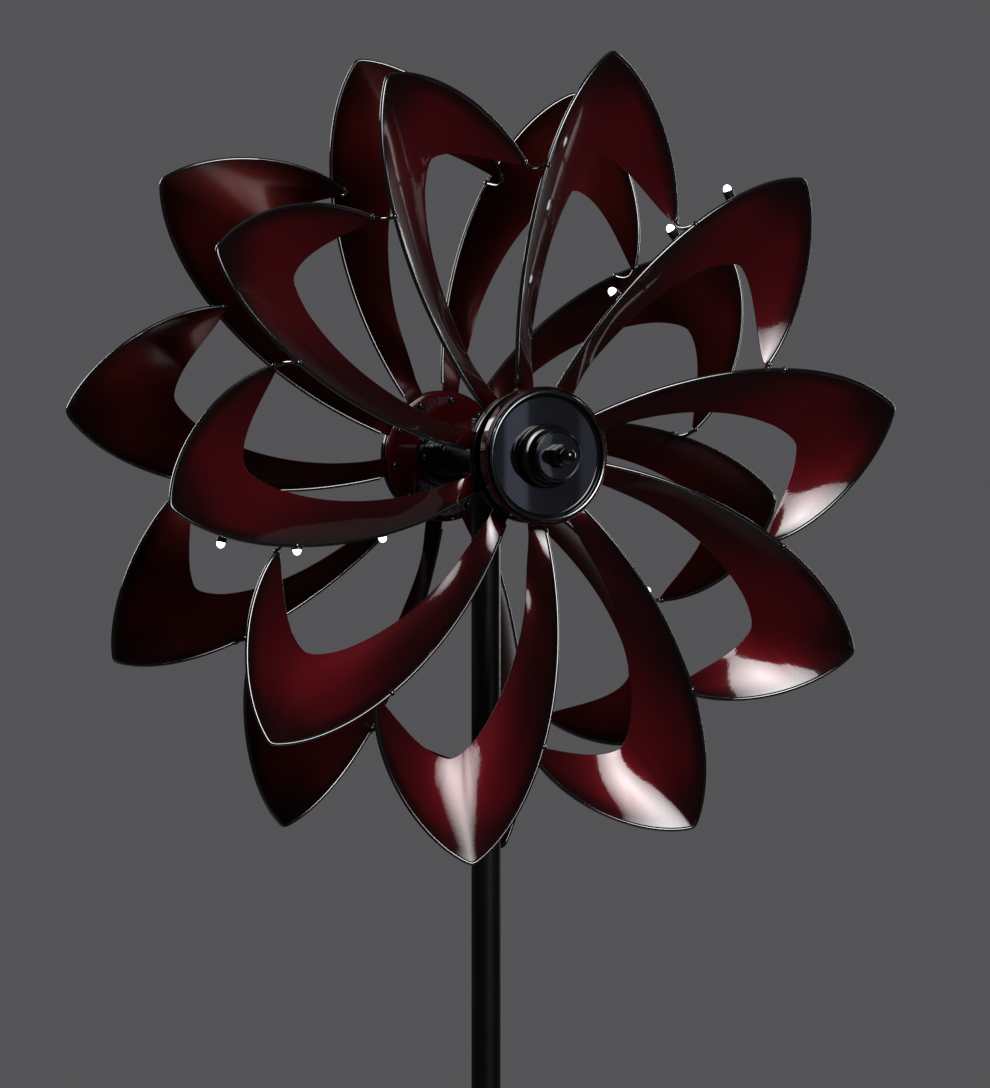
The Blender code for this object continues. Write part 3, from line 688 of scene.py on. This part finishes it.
def button_screw(bm, spot, side, facing, scale=1.0):
    """A button-head screw with a socket, along the axle. Facing is 1 away from the pole."""
    out = side * facing
    head = [(0.0, 0.0006), (0.001, 0.0006), (0.0012, 0.0017), (0.0019, 0.0018), (0.003, 0.0012),
            (0.0034, 0.0004), (0.0034, -0.0004), (0.0, -0.0004)]
    profile = [(radius * scale, out * height * scale) for radius, height in head]
    turn_profile(bm, profile, closed=False, segments=20, at=spot)


def ring_spot(radius, angle, distance):
    """A place round the axle, at a distance from the pole's middle plane."""
    return Vector((radius * cos(angle), distance, radius * sin(angle)))


def stud_spots(phase, distance):
    """The ten studs' places, at a distance from the pole's middle plane."""
    turns = (phase - 360 / PETALS * k + TAB_ANGLE for k in range(PETALS))
    return [ring_spot(STUD_CIRCLE, radians(turn), distance) for turn in turns]


def bearing_mesh(name, side, start, width):
    """A small ball bearing with its shield set back between the rings."""
    bore, outside, shield = 0.0054, 0.011, 0.0004
    end = start + width
    profile = [(bore, start), (0.0068, start), (0.007, start + shield),
               (0.0094, start + shield), (0.0096, start), (outside, start), (outside, end),
               (0.0096, end), (0.0094, end - shield), (0.007, end - shield), (0.0068, end),
               (bore, end)]
    return turned_mesh(name, profile, side=side, soften=0.00025)


def add_hub(rotor, side, phase):
    """A rotor's barrel with its bearings, and the plate and clamp ring that hold the petals."""
    body = f"{rotor}_rotor"
    low, high = BARREL
    seat, outside, groove = 0.0114, BARREL_RADIUS, BARREL_RADIUS - 0.0008
    flange = PLATE[0] - 0.0003
    flange_back = flange - FLANGE_THICKNESS
    barrel = [(seat, low), (outside, low), (outside, low + 0.004), (groove, low + 0.0044),
              (groove, low + 0.0052), (outside, low + 0.0056), (outside, flange_back),
              (FLANGE_RADIUS, flange_back), (FLANGE_RADIUS, flange), (outside, flange),
              (outside, high), (seat, high)]
    add_turned(f"{rotor}_barrel", barrel, "gloss_black", body, f"{rotor}_hub_barrel",
               slot="satin_black", side=side)
    for which in ("inner", "outer"):
        node = f"{rotor}_{which}_bearing"
        near, far = reach(node)
        bearing = bearing_mesh(node, side, near, far - near)
        add_piece(f"{rotor}_{which}_ball_bearing", bearing, "zinc_steel", body, node)
    bore = outside + 0.0004
    plate = [(bore, PLATE[0]), (PLATE_RADIUS - 0.004, PLATE[0]), (PLATE_RADIUS, PLATE[0] + 0.0006),
             (PLATE_RADIUS, PLATE[1]), (bore, PLATE[1])]
    add_turned(f"{rotor}_plate", plate, "hub_red", body, f"{rotor}_hub_plate", side=side,
               soften=0.001)
    bm = bmesh.new()
    clamp = [(CLAMP_BORE, CLAMP_INSIDE), (PLATE_RADIUS, CLAMP_INSIDE),
             (PLATE_RADIUS, CLAMP_OUTSIDE), (CLAMP_BORE, CLAMP_OUTSIDE)]
    turn_profile(bm, [(r, side * d) for r, d in softened(clamp, 0.0005)])
    for spot in stud_spots(phase, side * PLATE[0]):
        button_screw(bm, spot, side, -1)
    for k in range(4):
        angle = radians(45 + 90 * k + phase)
        spot = ring_spot((outside + FLANGE_RADIUS) / 2, angle, side * flange_back)
        button_screw(bm, spot, side, -1, scale=0.8)
    add_piece(f"{rotor}_clamp_and_screws", mesh_from(bm, "clamp"), "gloss_black", body,
              f"{rotor}_clamp_ring")


def arc(centre, radius, start, end, steps):
    """Points round part of a circle, for profiles."""
    angles = [radians(start + (end - start) * k / steps) for k in range(steps + 1)]
    return [(centre[0] + radius * cos(a), centre[1] + radius * sin(a)) for a in angles]


def add_front_covers():
    """The drum, the flat cap, the trim ring and the boss, which turn with the front rotor."""
    body, black = "front_rotor", "gloss_black"
    low, high = DRUM
    inside, neck_bore = DRUM_RADIUS - COVER_WALL, DRUM_NECK_RADIUS - COVER_WALL
    drum = [(DRUM_BORE, low), (DRUM_NECK_RADIUS, low), (DRUM_NECK_RADIUS, DRUM_BACK),
            (DRUM_RADIUS - 0.0016, DRUM_BACK), (DRUM_RADIUS, DRUM_BACK + 0.0016),
            (DRUM_RADIUS, high - 0.001), (DRUM_RADIUS - 0.0005, high), (inside, high),
            (inside, DRUM_BACK + COVER_WALL), (neck_bore, DRUM_BACK + COVER_WALL),
            (neck_bore, low + COVER_WALL), (DRUM_BORE, low + COVER_WALL)]
    add_turned("drum", drum, "hub_red", body, "front_drum", side=-1, soften=0.0012)
    base = reach("front_boss")[0]
    flat, lip = base - GAP, CAP_RIM - 0.0003
    flat_radius, lip_radius = 0.044, 0.0462
    cap = [(COVER_BORE, flat), (flat_radius, flat), (lip_radius, lip), (CAP_RADIUS, CAP_RIM),
           (CAP_RADIUS, CAP_RIM - COVER_WALL), (lip_radius, lip - COVER_WALL),
           (flat_radius, flat - COVER_WALL), (COVER_BORE, flat - COVER_WALL)]
    add_turned("polished_cap", cap, black, body, "front_cap", side=-1, soften=0.0008)
    near, far = reach("trim_ring")
    trim_wire = (far - near) / 2
    trim = arc((TRIM_RADIUS - trim_wire, (near + far) / 2), trim_wire, 0, 345, 15)
    add_turned("chrome_trim", trim, "dark_chrome", body, "trim_ring", side=-1, soften=0.0)
    bore, wide, narrow = 0.0056, half_width("front_boss"), BOSS_NECK_RADIUS
    boss = [(bore, base), (wide, base), (wide, BOSS_NECK - 0.0032),
            (wide - 0.001, BOSS_NECK - 0.001), (wide - 0.0028, BOSS_NECK - 0.0002),
            (narrow + 0.0004, BOSS_NECK + 0.0002), (narrow, BOSS_NECK + 0.001),
            (narrow, BOSS_FRONT - 0.0007), (narrow - 0.0007, BOSS_FRONT), (0.0178, BOSS_FRONT),
            (0.0176, BOSS_FRONT - 0.0006), (bore, BOSS_FRONT - 0.0006)]
    add_turned("boss", boss, black, body, "front_boss", side=-1, soften=0.001)
    face = [(bore, BOSS_FRONT - 0.0005), (0.0174, BOSS_FRONT - 0.0005),
            (0.0172, BOSS_FRONT - 0.0001), (bore, BOSS_FRONT - 0.0001)]
    add_turned("boss_face", face, black, body, "front_boss", side=-1, soften=0.0002)


def add_rear_cap():
    """The domed cover over the rear hub."""
    start, end = REAR_CAP
    rim = 0.05
    outside = [(COVER_BORE, end), (0.02, end - 0.0006), (0.03, end - 0.002),
               (0.04, end - 0.0052), (0.0465, end - 0.0092), (0.0495, end - 0.0132), (rim, start)]
    inside = [(r - COVER_WALL * 0.8 if r > 0.03 else r, d - COVER_WALL) for r, d in outside[:-1]]
    shell = outside + [(rim - COVER_WALL, start)] + inside[::-1]
    add_turned("rear_cover", shell, "gloss_black", "rear_rotor", "rear_cap", soften=0.003)


# ---- lamps

def rim_share_at(radius):
    """Where on the rim a distance from the axle lies, found by halving."""
    low, high = 0.0, 0.95
    for _ in range(30):
        middle = (low + high) / 2
        if bezier(RIM, middle).xy.length < radius:
            low = middle
        else:
            high = middle
    return low


def lamp_frame(share_of_radius, behind):
    """The lens's base and the way it points, in the petal's own directions."""
    s = rim_share_at(share_of_radius * ROTOR_RADIUS)
    rim, ahead = outer_edge(s), outer_edge(s + 0.01)
    outward = Vector((-(ahead - rim).y, (ahead - rim).x, 0)).normalized()
    return s, rim - Vector((0, 0, behind)) + outward * 0.003, outward


def standing(base, outward, side=-1):
    """Stands a Z-axis profile on a point, pointing outward."""
    start, ahead = to_local(base, side), to_local(base + outward, side)
    turn = (ahead - start).to_track_quat("Z", "Y").to_matrix().to_4x4()
    return Matrix.Translation(start) @ turn


def lamp_meshes(name, share_of_radius, behind):
    """The lamp's body with its arm, and its lens."""
    s, base, outward = lamp_frame(share_of_radius, behind)
    where = standing(base, outward)
    body = bmesh.new()
    back, wide, barrel = -LAMP_LENGTH, LAMP_RADIUS, LAMP_RADIUS * 0.93
    housing = [(0.0, back), (0.0026, back), (0.0036, back + 0.0012), (0.0036, back + 0.003),
               (barrel, back + 0.0034), (barrel, -0.002), (wide, -0.0016), (wide, 0.0002),
               (0.0034, 0.0002), (0.0034, -0.0012), (0.0, -0.0012)]
    turn_profile(body, softened(housing, 0.0004, closed=False), axis="Z", closed=False, segments=32)
    bmesh.ops.transform(body, matrix=where, verts=body.verts)
    foot = petal_point(s, 0.16) - Vector((0, 0, SHEET * 0.5 + RIM_ROD))
    head = base - outward * LAMP_LENGTH * 0.7
    bow = foot.lerp(head, 0.5) - outward * 0.0012
    route = [to_local(quadratic(foot, bow, head, i / 10), -1) for i in range(11)]
    sweep(body, route, 0.0015, sides=10, flatten=0.6)
    bead(body, to_local(foot, -1), 0.0021)
    lens = bmesh.new()
    dome = [(0.0, LENS_LENGTH), (0.001, LENS_LENGTH - 0.0002), (0.0021, LENS_LENGTH - 0.0009),
            (0.0029, LENS_LENGTH - 0.0021), (0.0032, LENS_LENGTH - 0.0034), (0.0032, -0.0008),
            (0.0, -0.0008)]
    turn_profile(lens, dome, axis="Z", closed=False, segments=28)
    bmesh.ops.transform(lens, matrix=where, verts=lens.verts)
    return mesh_from(body, name + "_body"), mesh_from(lens, name + "_lens")


def wire_mesh():
    """The lamps' wire along the back of a stem, with a lead up to each lamp."""
    count, last = 60, rim_share_at(LAMP_PLACES["outer"][0] * ROTOR_RADIUS)

    def along(s):
        wander = 0.55 + 0.04 * sin(s * 23.0)
        return petal_point(s, wander) - Vector((0, 0, WIRE_LIFT))

    bm = bmesh.new()
    shares = [WIRE_START + (last - WIRE_START) * i / count for i in range(count + 1)]
    sweep(bm, [to_local(along(s), -1) for s in shares], WIRE_RADIUS, sides=10)
    for place in LAMP_PLACES.values():
        s, base, outward = lamp_frame(*place)
        start, end = along(s - 0.035), base - outward * LAMP_LENGTH * 1.02
        bends = (start - Vector((0, 0, 0.006)), end - outward * 0.006)
        lead = [to_local(cubic(start, *bends, end, i / 16), -1) for i in range(17)]
        sweep(bm, lead, WIRE_RADIUS * 0.8, sides=8)
    return mesh_from(bm, "lamp_wire")


def add_lamps():
    """Three lamps and their wire on each petal that carries lamps."""
    body = "front_rotor"
    meshes = {where: lamp_meshes(f"lamp_{where}", *spot) for where, spot in LAMP_PLACES.items()}
    wire = wire_mesh()
    for number, petal in enumerate(LAMP_PETALS, 1):
        place = petal_turn(FRONT_PHASE, petal)
        add_piece(f"lamp_leads_{number}", wire, "lamp_wire", body, f"lamp_wire_{number}", place,
                  even=False)
        for where, (housing, lens) in meshes.items():
            node = f"lamp_{number}_{where}"
            for part, mesh, look in (("body", housing, "lamp_body"), ("lens", lens, "lens")):
                add_piece(f"{node}_{part}", mesh, look, body, node, place, even=False)


# ---- stand

def thread(start, end, skipped=0):
    """The ridges of a thread between two places on the axle, without the first few."""
    ridges = []
    for k in range(skipped, int((end - start) / THREAD_PITCH)):
        ridges += [(THREAD_RADIUS, start + THREAD_PITCH * (k + 0.3)),
                   (THREAD_RADIUS - THREAD_DEPTH, start + THREAD_PITCH * (k + 0.8))]
    return ridges


def add_axle():
    """The fixed axle with its threaded ends, the ball-ended nut in front and the nut behind."""
    front_end, rear_end = -reach("axle")[1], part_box("axle")[1].y
    chamfer = THREAD_RADIUS * 0.85
    shaft = [(0, front_end), (chamfer, front_end), *thread(front_end, -FRONT_THREAD),
             (THREAD_RADIUS, -FRONT_THREAD), (AXLE_RADIUS, 0.0006 - FRONT_THREAD),
             (AXLE_RADIUS, -AXLE_SHOULDER), (SHOULDER_RADIUS, -AXLE_SHOULDER),
             (SHOULDER_RADIUS, AXLE_SHOULDER), (AXLE_RADIUS, AXLE_SHOULDER),
             (AXLE_RADIUS, REAR_THREAD - 0.0005), (THREAD_RADIUS, REAR_THREAD),
             *thread(REAR_THREAD, rear_end, skipped=1), (chamfer, rear_end), (0, rear_end)]
    add_turned("axle_shaft", shaft, "zinc_steel", "stand", "axle", soften=0.0002, closed=False,
               segments=48)
    bm = bmesh.new()
    hexagon(bm, NUT_CORNER_RADIUS, -NUT_FRONT, -(BOSS_FRONT + GAP))
    centre = BALL_FRONT - BALL_RADIUS
    ball = [(r, -(centre + d)) for r, d in arc((0, 0), BALL_RADIUS, 84, -42, 21)]
    neck = [(0.0045, -NUT_FRONT - 0.0004), (0.0048, 0.0004 - NUT_FRONT), (0.0, 0.0004 - NUT_FRONT)]
    turn_profile(bm, [(0.0, -BALL_FRONT)] + ball + neck, closed=False, segments=48)
    add_piece("finial", mesh_from(bm, "finial"), "gloss_black", "stand", "finial_nut")
    bm = bmesh.new()
    near, far = REAR_NUT
    hexagon(bm, REAR_NUT_CORNER_RADIUS, near, far - 0.0012, soften=0.0005)
    crown = [(0.0062, far - 0.0014), (0.006, far - 0.0004), (0.0052, far), (0.0043, far),
             (0.0041, near)]
    turn_profile(bm, crown, segments=48)
    nut = mesh_from(bm, "rear_lock_nut")
    add_piece("rear_lock_nut", nut, "zinc_steel", "stand", "rear_axle_nut")


def tube_profile(low, high, swaged):
    """An open tube, with or without a narrower spigot for the tube below."""
    if not swaged:
        return [(POLE_BORE, low), (POLE_RADIUS, low), (POLE_RADIUS, high), (POLE_BORE, high)]
    foot = low - SPIGOT_LENGTH
    return [(SPIGOT_BORE, foot), (SPIGOT_RADIUS, foot), (SPIGOT_RADIUS, low),
            (POLE_RADIUS, low + 0.0022), (POLE_RADIUS, high), (POLE_BORE, high),
            (POLE_BORE, low + 0.004), (SPIGOT_BORE, low + 0.0005)]


def saddle_loop(height, sign):
    """Where the cross sleeve's top or bottom meets the pole."""
    loop = []
    for angle in turns(72):
        x, y = POLE_RADIUS * cos(angle), POLE_RADIUS * sin(angle)
        loop.append(Vector((x, y, height + sign * sqrt(SLEEVE_RADIUS**2 - x**2))))
    return loop


def screw_on_pole(height):
    """A pan-head screw in the pole's side."""
    bm = bmesh.new()
    head = [(0.0, 0.0012), (0.0012, 0.0014), (0.0014, 0.0028), (0.0024, 0.0028), (0.0036, 0.002),
            (0.0042, 0.0008), (0.0042, -0.0006), (0.002, -0.0006), (0.002, -0.0014),
            (0.0, -0.0014)]
    turn_profile(bm, softened(head, 0.0003, closed=False), axis="Z", closed=False, segments=28)
    sideways = Matrix.Rotation(radians(90), 4, "Y")
    where = Matrix.Translation((POLE_RADIUS + 0.0003, 0, height)) @ sideways
    bmesh.ops.transform(bm, matrix=where, verts=bm.verts)
    return mesh_from(bm, "pole_screw")


def bar_profile(radius, half):
    """A plain round bar, as long on one side of the pole as on the other."""
    return [(0, -half), (radius, -half), (radius, half), (0, half)]


def upper_tube_mesh(top):
    """The top tube with the cross sleeve through it, bored for the axle, and the weld seams."""
    profile = tube_profile(JOINT_HEIGHTS[1] + GAP, top, True)
    tube = turned_mesh("tube", profile, "Z", soften=0.0006)
    sleeve = turned_mesh("sleeve", bar_profile(SLEEVE_RADIUS, reach("upper_pole")[1]),
                         closed=False, soften=0.0008)
    bore = turned_mesh("bore", bar_profile(0.0074, 0.06), closed=False, soften=0)
    for mesh in (sleeve, bore):
        mesh.transform(Matrix.Translation(HUB))
    bm = bmesh.new()
    bm.from_mesh(combined(tube, joined=sleeve, cut=bore))
    for sign in (-1, 1):
        weld_ring(bm, saddle_loop(AXLE_HEIGHT, sign), 0.0014)
    return mesh_from(bm, "upper_tube")


def add_pole():
    """The two lower tubes with their screws, the top tube, its plug and the axle's set screw."""
    body, black, zinc, still = "stand", "satin_black", "zinc_steel", Matrix()
    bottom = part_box("lower_pole")[0].z
    spans = (("lower", bottom, JOINT_HEIGHTS[0], False),
             ("middle", JOINT_HEIGHTS[0] + GAP, JOINT_HEIGHTS[1], True))
    for name, low, high, swaged in spans:
        mesh = turned_mesh(f"{name}_tube", tube_profile(low, high, swaged), "Z", soften=0.0006)
        add_piece(f"{name}_tube", mesh, black, body, f"{name}_pole", still)
        add_piece(f"{name}_tube_screw", screw_on_pole(high - 0.02), zinc, body,
                  f"{name}_joint_screw", still)
    top = POLE_TOP - 0.004
    add_piece("upper_tube", upper_tube_mesh(top), black, body, "upper_pole", still)
    plug = [(0, top - 0.01), (0.0092, top - 0.01), (0.0092, top + GAP), (POLE_RADIUS, top + GAP),
            (POLE_RADIUS, top + 0.002), (POLE_RADIUS * 0.8, POLE_TOP - 0.0006), (0.003, POLE_TOP),
            (0, POLE_TOP)]
    cap = turned_mesh("pole_plug", plug, "Z", closed=False, soften=0.0012)
    add_piece("pole_plug", cap, black, body, "pole_cap", still)
    low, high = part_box("axle_set_screw")
    shank = [(0, low.z), (0.0025, low.z), (0.0025, high.z - 0.0034), (0.0045, high.z - 0.0034),
             (0.0045, high.z - 0.0005), (0.004, high.z), (0.0022, high.z),
             (0.002, high.z - 0.002), (0, high.z - 0.002)]
    screw = turned_mesh("set_screw", shank, "Z", closed=False, soften=0.0003, segments=36)
    place = Matrix.Translation((0, (low.y + high.y) / 2, 0))
    add_piece("set_screw", screw, zinc, body, "axle_set_screw", place)


def step_plate_mesh():
    """A flat plate with round corners and softened edges."""
    length, width, thick = STEP_PLATE
    corner, steps = 0.012, 8
    bm = bmesh.new()
    outline = []
    for x, y, start in ((1, 1, 0), (-1, 1, 90), (-1, -1, 180), (1, -1, 270)):
        centre = (x * (length / 2 - corner), y * (width / 2 - corner))
        outline += arc(centre, corner, start, start + 90, steps)
    bottom = bm.faces.new([bm.verts.new((x, y, 0)) for x, y in outline])
    top = bmesh.ops.extrude_face_region(bm, geom=[bottom])["geom"]
    raised = [v for v in top if isinstance(v, bmesh.types.BMVert)]
    bmesh.ops.translate(bm, vec=(0, 0, thick), verts=raised)
    sharp = [e for e in bm.edges if abs(e.verts[0].co.z - e.verts[1].co.z) < 1e-6]
    bmesh.ops.bevel(bm, geom=sharp, offset=0.0009, segments=3, profile=0.5, affect="EDGES")
    return bm


def add_stake():
    """The step plate, its welded socket and its four pointed prongs."""
    thick = STEP_PLATE[2]
    bm = step_plate_mesh()
    inner, wall = POLE_RADIUS + GAP, SOCKET_RADIUS
    foot, rim = thick * 0.5, thick + SOCKET_HEIGHT
    socket = [(inner, foot), (wall, foot), (wall, rim), (inner, rim)]
    turn_profile(bm, softened(socket, 0.0009), axis="Z")
    circle = [Vector((cos(a), sin(a), 0)) for a in turns(90)]
    seam = [p * (SOCKET_RADIUS + 0.0004) + Vector((0, 0, thick + 0.0006)) for p in circle]
    weld_ring(bm, seam, 0.002)
    head = thick + 0.0008
    prong = [(0, head), (PRONG_RADIUS * 0.8, head), (PRONG_RADIUS, thick),
             (PRONG_RADIUS, GROUND + TAPER), (0.0008, GROUND + 0.0006), (0, GROUND)]
    prong = softened(prong, 0.001, closed=False)
    for x in (-1, 1):
        for y in (-1, 1):
            spot = Vector((x * PRONG_PLACE[0], y * PRONG_PLACE[1], 0))
            turn_profile(bm, prong, axis="Z", closed=False, segments=32, at=spot)
            loop = [p * (PRONG_RADIUS + 0.0003) + spot for p in circle[::2]]
            weld_ring(bm, [p - Vector((0, 0, 0.0004)) for p in loop], 0.0014)
    add_piece("stake", mesh_from(bm, "stake"), "satin_black", "stand", "ground_stake", Matrix())


def paint_kept_nodes():
    """Materials for the generator's inner pieces, whose CAD shape is right."""
    for node, look in (("coil_ring", "coil_copper"), ("magnet_core", "zinc_steel")):
        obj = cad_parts[node]
        for slot in obj.material_slots:
            slot.material = LOOKS[look]
        if not obj.material_slots:
            obj.data.materials.append(LOOKS[look])


# ---- studio

CAMERA_AZIMUTH = -28.0
CAMERA_DISTANCE = 5.05
CAMERA_LENS = 221.8  # millimetres, for a 36 mm sensor along the picture's long side
AIM_RIGHT, AIM_DOWN = 0.0068, 0.0663  # from the axle to the picture's middle
BACKDROP = 0.09  # brightness of the empty background
ROOM_LIGHT = 0.022  # brightness of the dim room that lights the object
WHITE, BLUISH = (1, 1, 1), (0.66, 0.72, 1.0)
OPEN = 180.0  # spread of a light that doesn't fade towards its edges
SOFTBOXES = (  # name, azimuth, elevation, distance, width and height, watts, spread, colour
    ("key_softbox", 4, 19.5, 2.2, (1.29, 1.12), 2.6, 40, WHITE),
    ("left_strip", 26.9, 0, 2.5, (0.02, 0.4), 0.032, OPEN, BLUISH),
    ("right_strip", 28.4, 0, 2.5, (0.02, 0.4), 0.014, OPEN, BLUISH),
    ("top_softbox", 60, 80, 2.6, (2.2, 2.2), 1.5, OPEN, WHITE),
    ("back_softbox", -150, 25, 3.0, (1.6, 1.6), 40, OPEN, WHITE),
    ("side_softbox", 118, 12, 3.0, (1.0, 1.8), 16, OPEN, WHITE),
)


def towards(azimuth, elevation):
    """The direction of an azimuth and elevation. Azimuth 0 is in front."""
    a, e = radians(azimuth), radians(elevation)
    return Vector((sin(a) * cos(e), -cos(a) * cos(e), sin(e)))


def add_camera():
    """The photograph's view: level with the axle, from the left, through a long lens."""
    data = bpy.data.cameras.new("camera")
    data.lens = CAMERA_LENS
    data.sensor_width = 36.0
    data.clip_end = 100.0
    camera = linked("camera", data)
    back = towards(CAMERA_AZIMUTH, 0)
    right = Vector((-back.y, back.x, 0))
    camera.location = HUB + back * CAMERA_DISTANCE
    aim = HUB + right * AIM_RIGHT - Vector((0, 0, AIM_DOWN))
    camera.rotation_mode = "QUATERNION"
    camera.rotation_quaternion = (aim - camera.location).to_track_quat("-Z", "Y")
    bpy.context.scene.camera = camera


def add_softbox(name, azimuth, elevation, distance, size, power, spread, color):
    """A rectangular light that faces the hub, fading to its edges if its spread is small."""
    data = bpy.data.lights.new(name, "AREA")
    data.shape = "RECTANGLE"
    data.size, data.size_y = size
    data.energy = power
    data.color = color
    data.spread = radians(spread)
    light = linked(name, data)
    way = towards(azimuth, elevation)
    light.location = HUB + way * distance
    light.rotation_mode = "QUATERNION"
    light.rotation_quaternion = (-way).to_track_quat("-Z", "Y")
    light.visible_camera = False


def add_lights():
    """The softboxes, and a plain room that lights the object less than it shows."""
    for softbox in SOFTBOXES:
        add_softbox(*softbox)
    world = bpy.data.worlds.new("studio")
    bpy.context.scene.world = world
    world.use_nodes = True
    tree = world.node_tree
    background = tree.nodes["Background"]
    background.inputs["Color"].default_value = (1.0, 0.97, 1.03, 1)
    seen = tree.nodes.new("ShaderNodeMapRange")
    seen.inputs["To Min"].default_value = ROOM_LIGHT
    seen.inputs["To Max"].default_value = BACKDROP
    path = tree.nodes.new("ShaderNodeLightPath")
    tree.links.new(path.outputs["Is Camera Ray"], seen.inputs["Value"])
    tree.links.new(seen.outputs["Result"], background.inputs["Strength"])


def add_floor():
    """A pale round floor that fades out towards its edge."""
    radius = 1.25
    bm = bmesh.new()
    bmesh.ops.create_circle(bm, cap_ends=True, segments=96, radius=radius)
    obj = linked("floor", mesh_from(bm, "floor"))
    obj.location = (0, 0, GROUND - 0.0002)
    look = Look("pale_floor", Roughness=0.55)
    look.color(look.ramp(look.noise(3.0), (0.3, (0.58, 0.57, 0.56)), (0.7, (0.63, 0.62, 0.61))))
    rings = look.node("TexGradient")
    rings.gradient_type = "SPHERICAL"
    shrink = look.node("Mapping", Scale=(1 / radius,) * 3)
    look.link(look.place, shrink.inputs["Vector"])
    look.link(shrink.outputs["Vector"], rings.inputs["Vector"])
    edge = look.ramp(rings.outputs["Fac"], (0.0, (0, 0, 0)), (0.4, (1, 1, 1)))
    look.link(edge, look.shader.inputs["Alpha"])
    obj.data.materials.append(look.material)


def main():
    add_stake()
    add_pole()
    add_axle()
    add_hub("front", -1, FRONT_PHASE)
    add_front_covers()
    add_petals("front", -1, FRONT_PHASE)
    add_lamps()
    add_hub("rear", 1, REAR_PHASE)
    add_rear_cap()
    add_petals("rear", 1, REAR_PHASE)
    paint_kept_nodes()
    add_floor()
    add_lights()
    add_camera()
    bpy.context.scene.view_settings.view_transform = "Standard"


main()
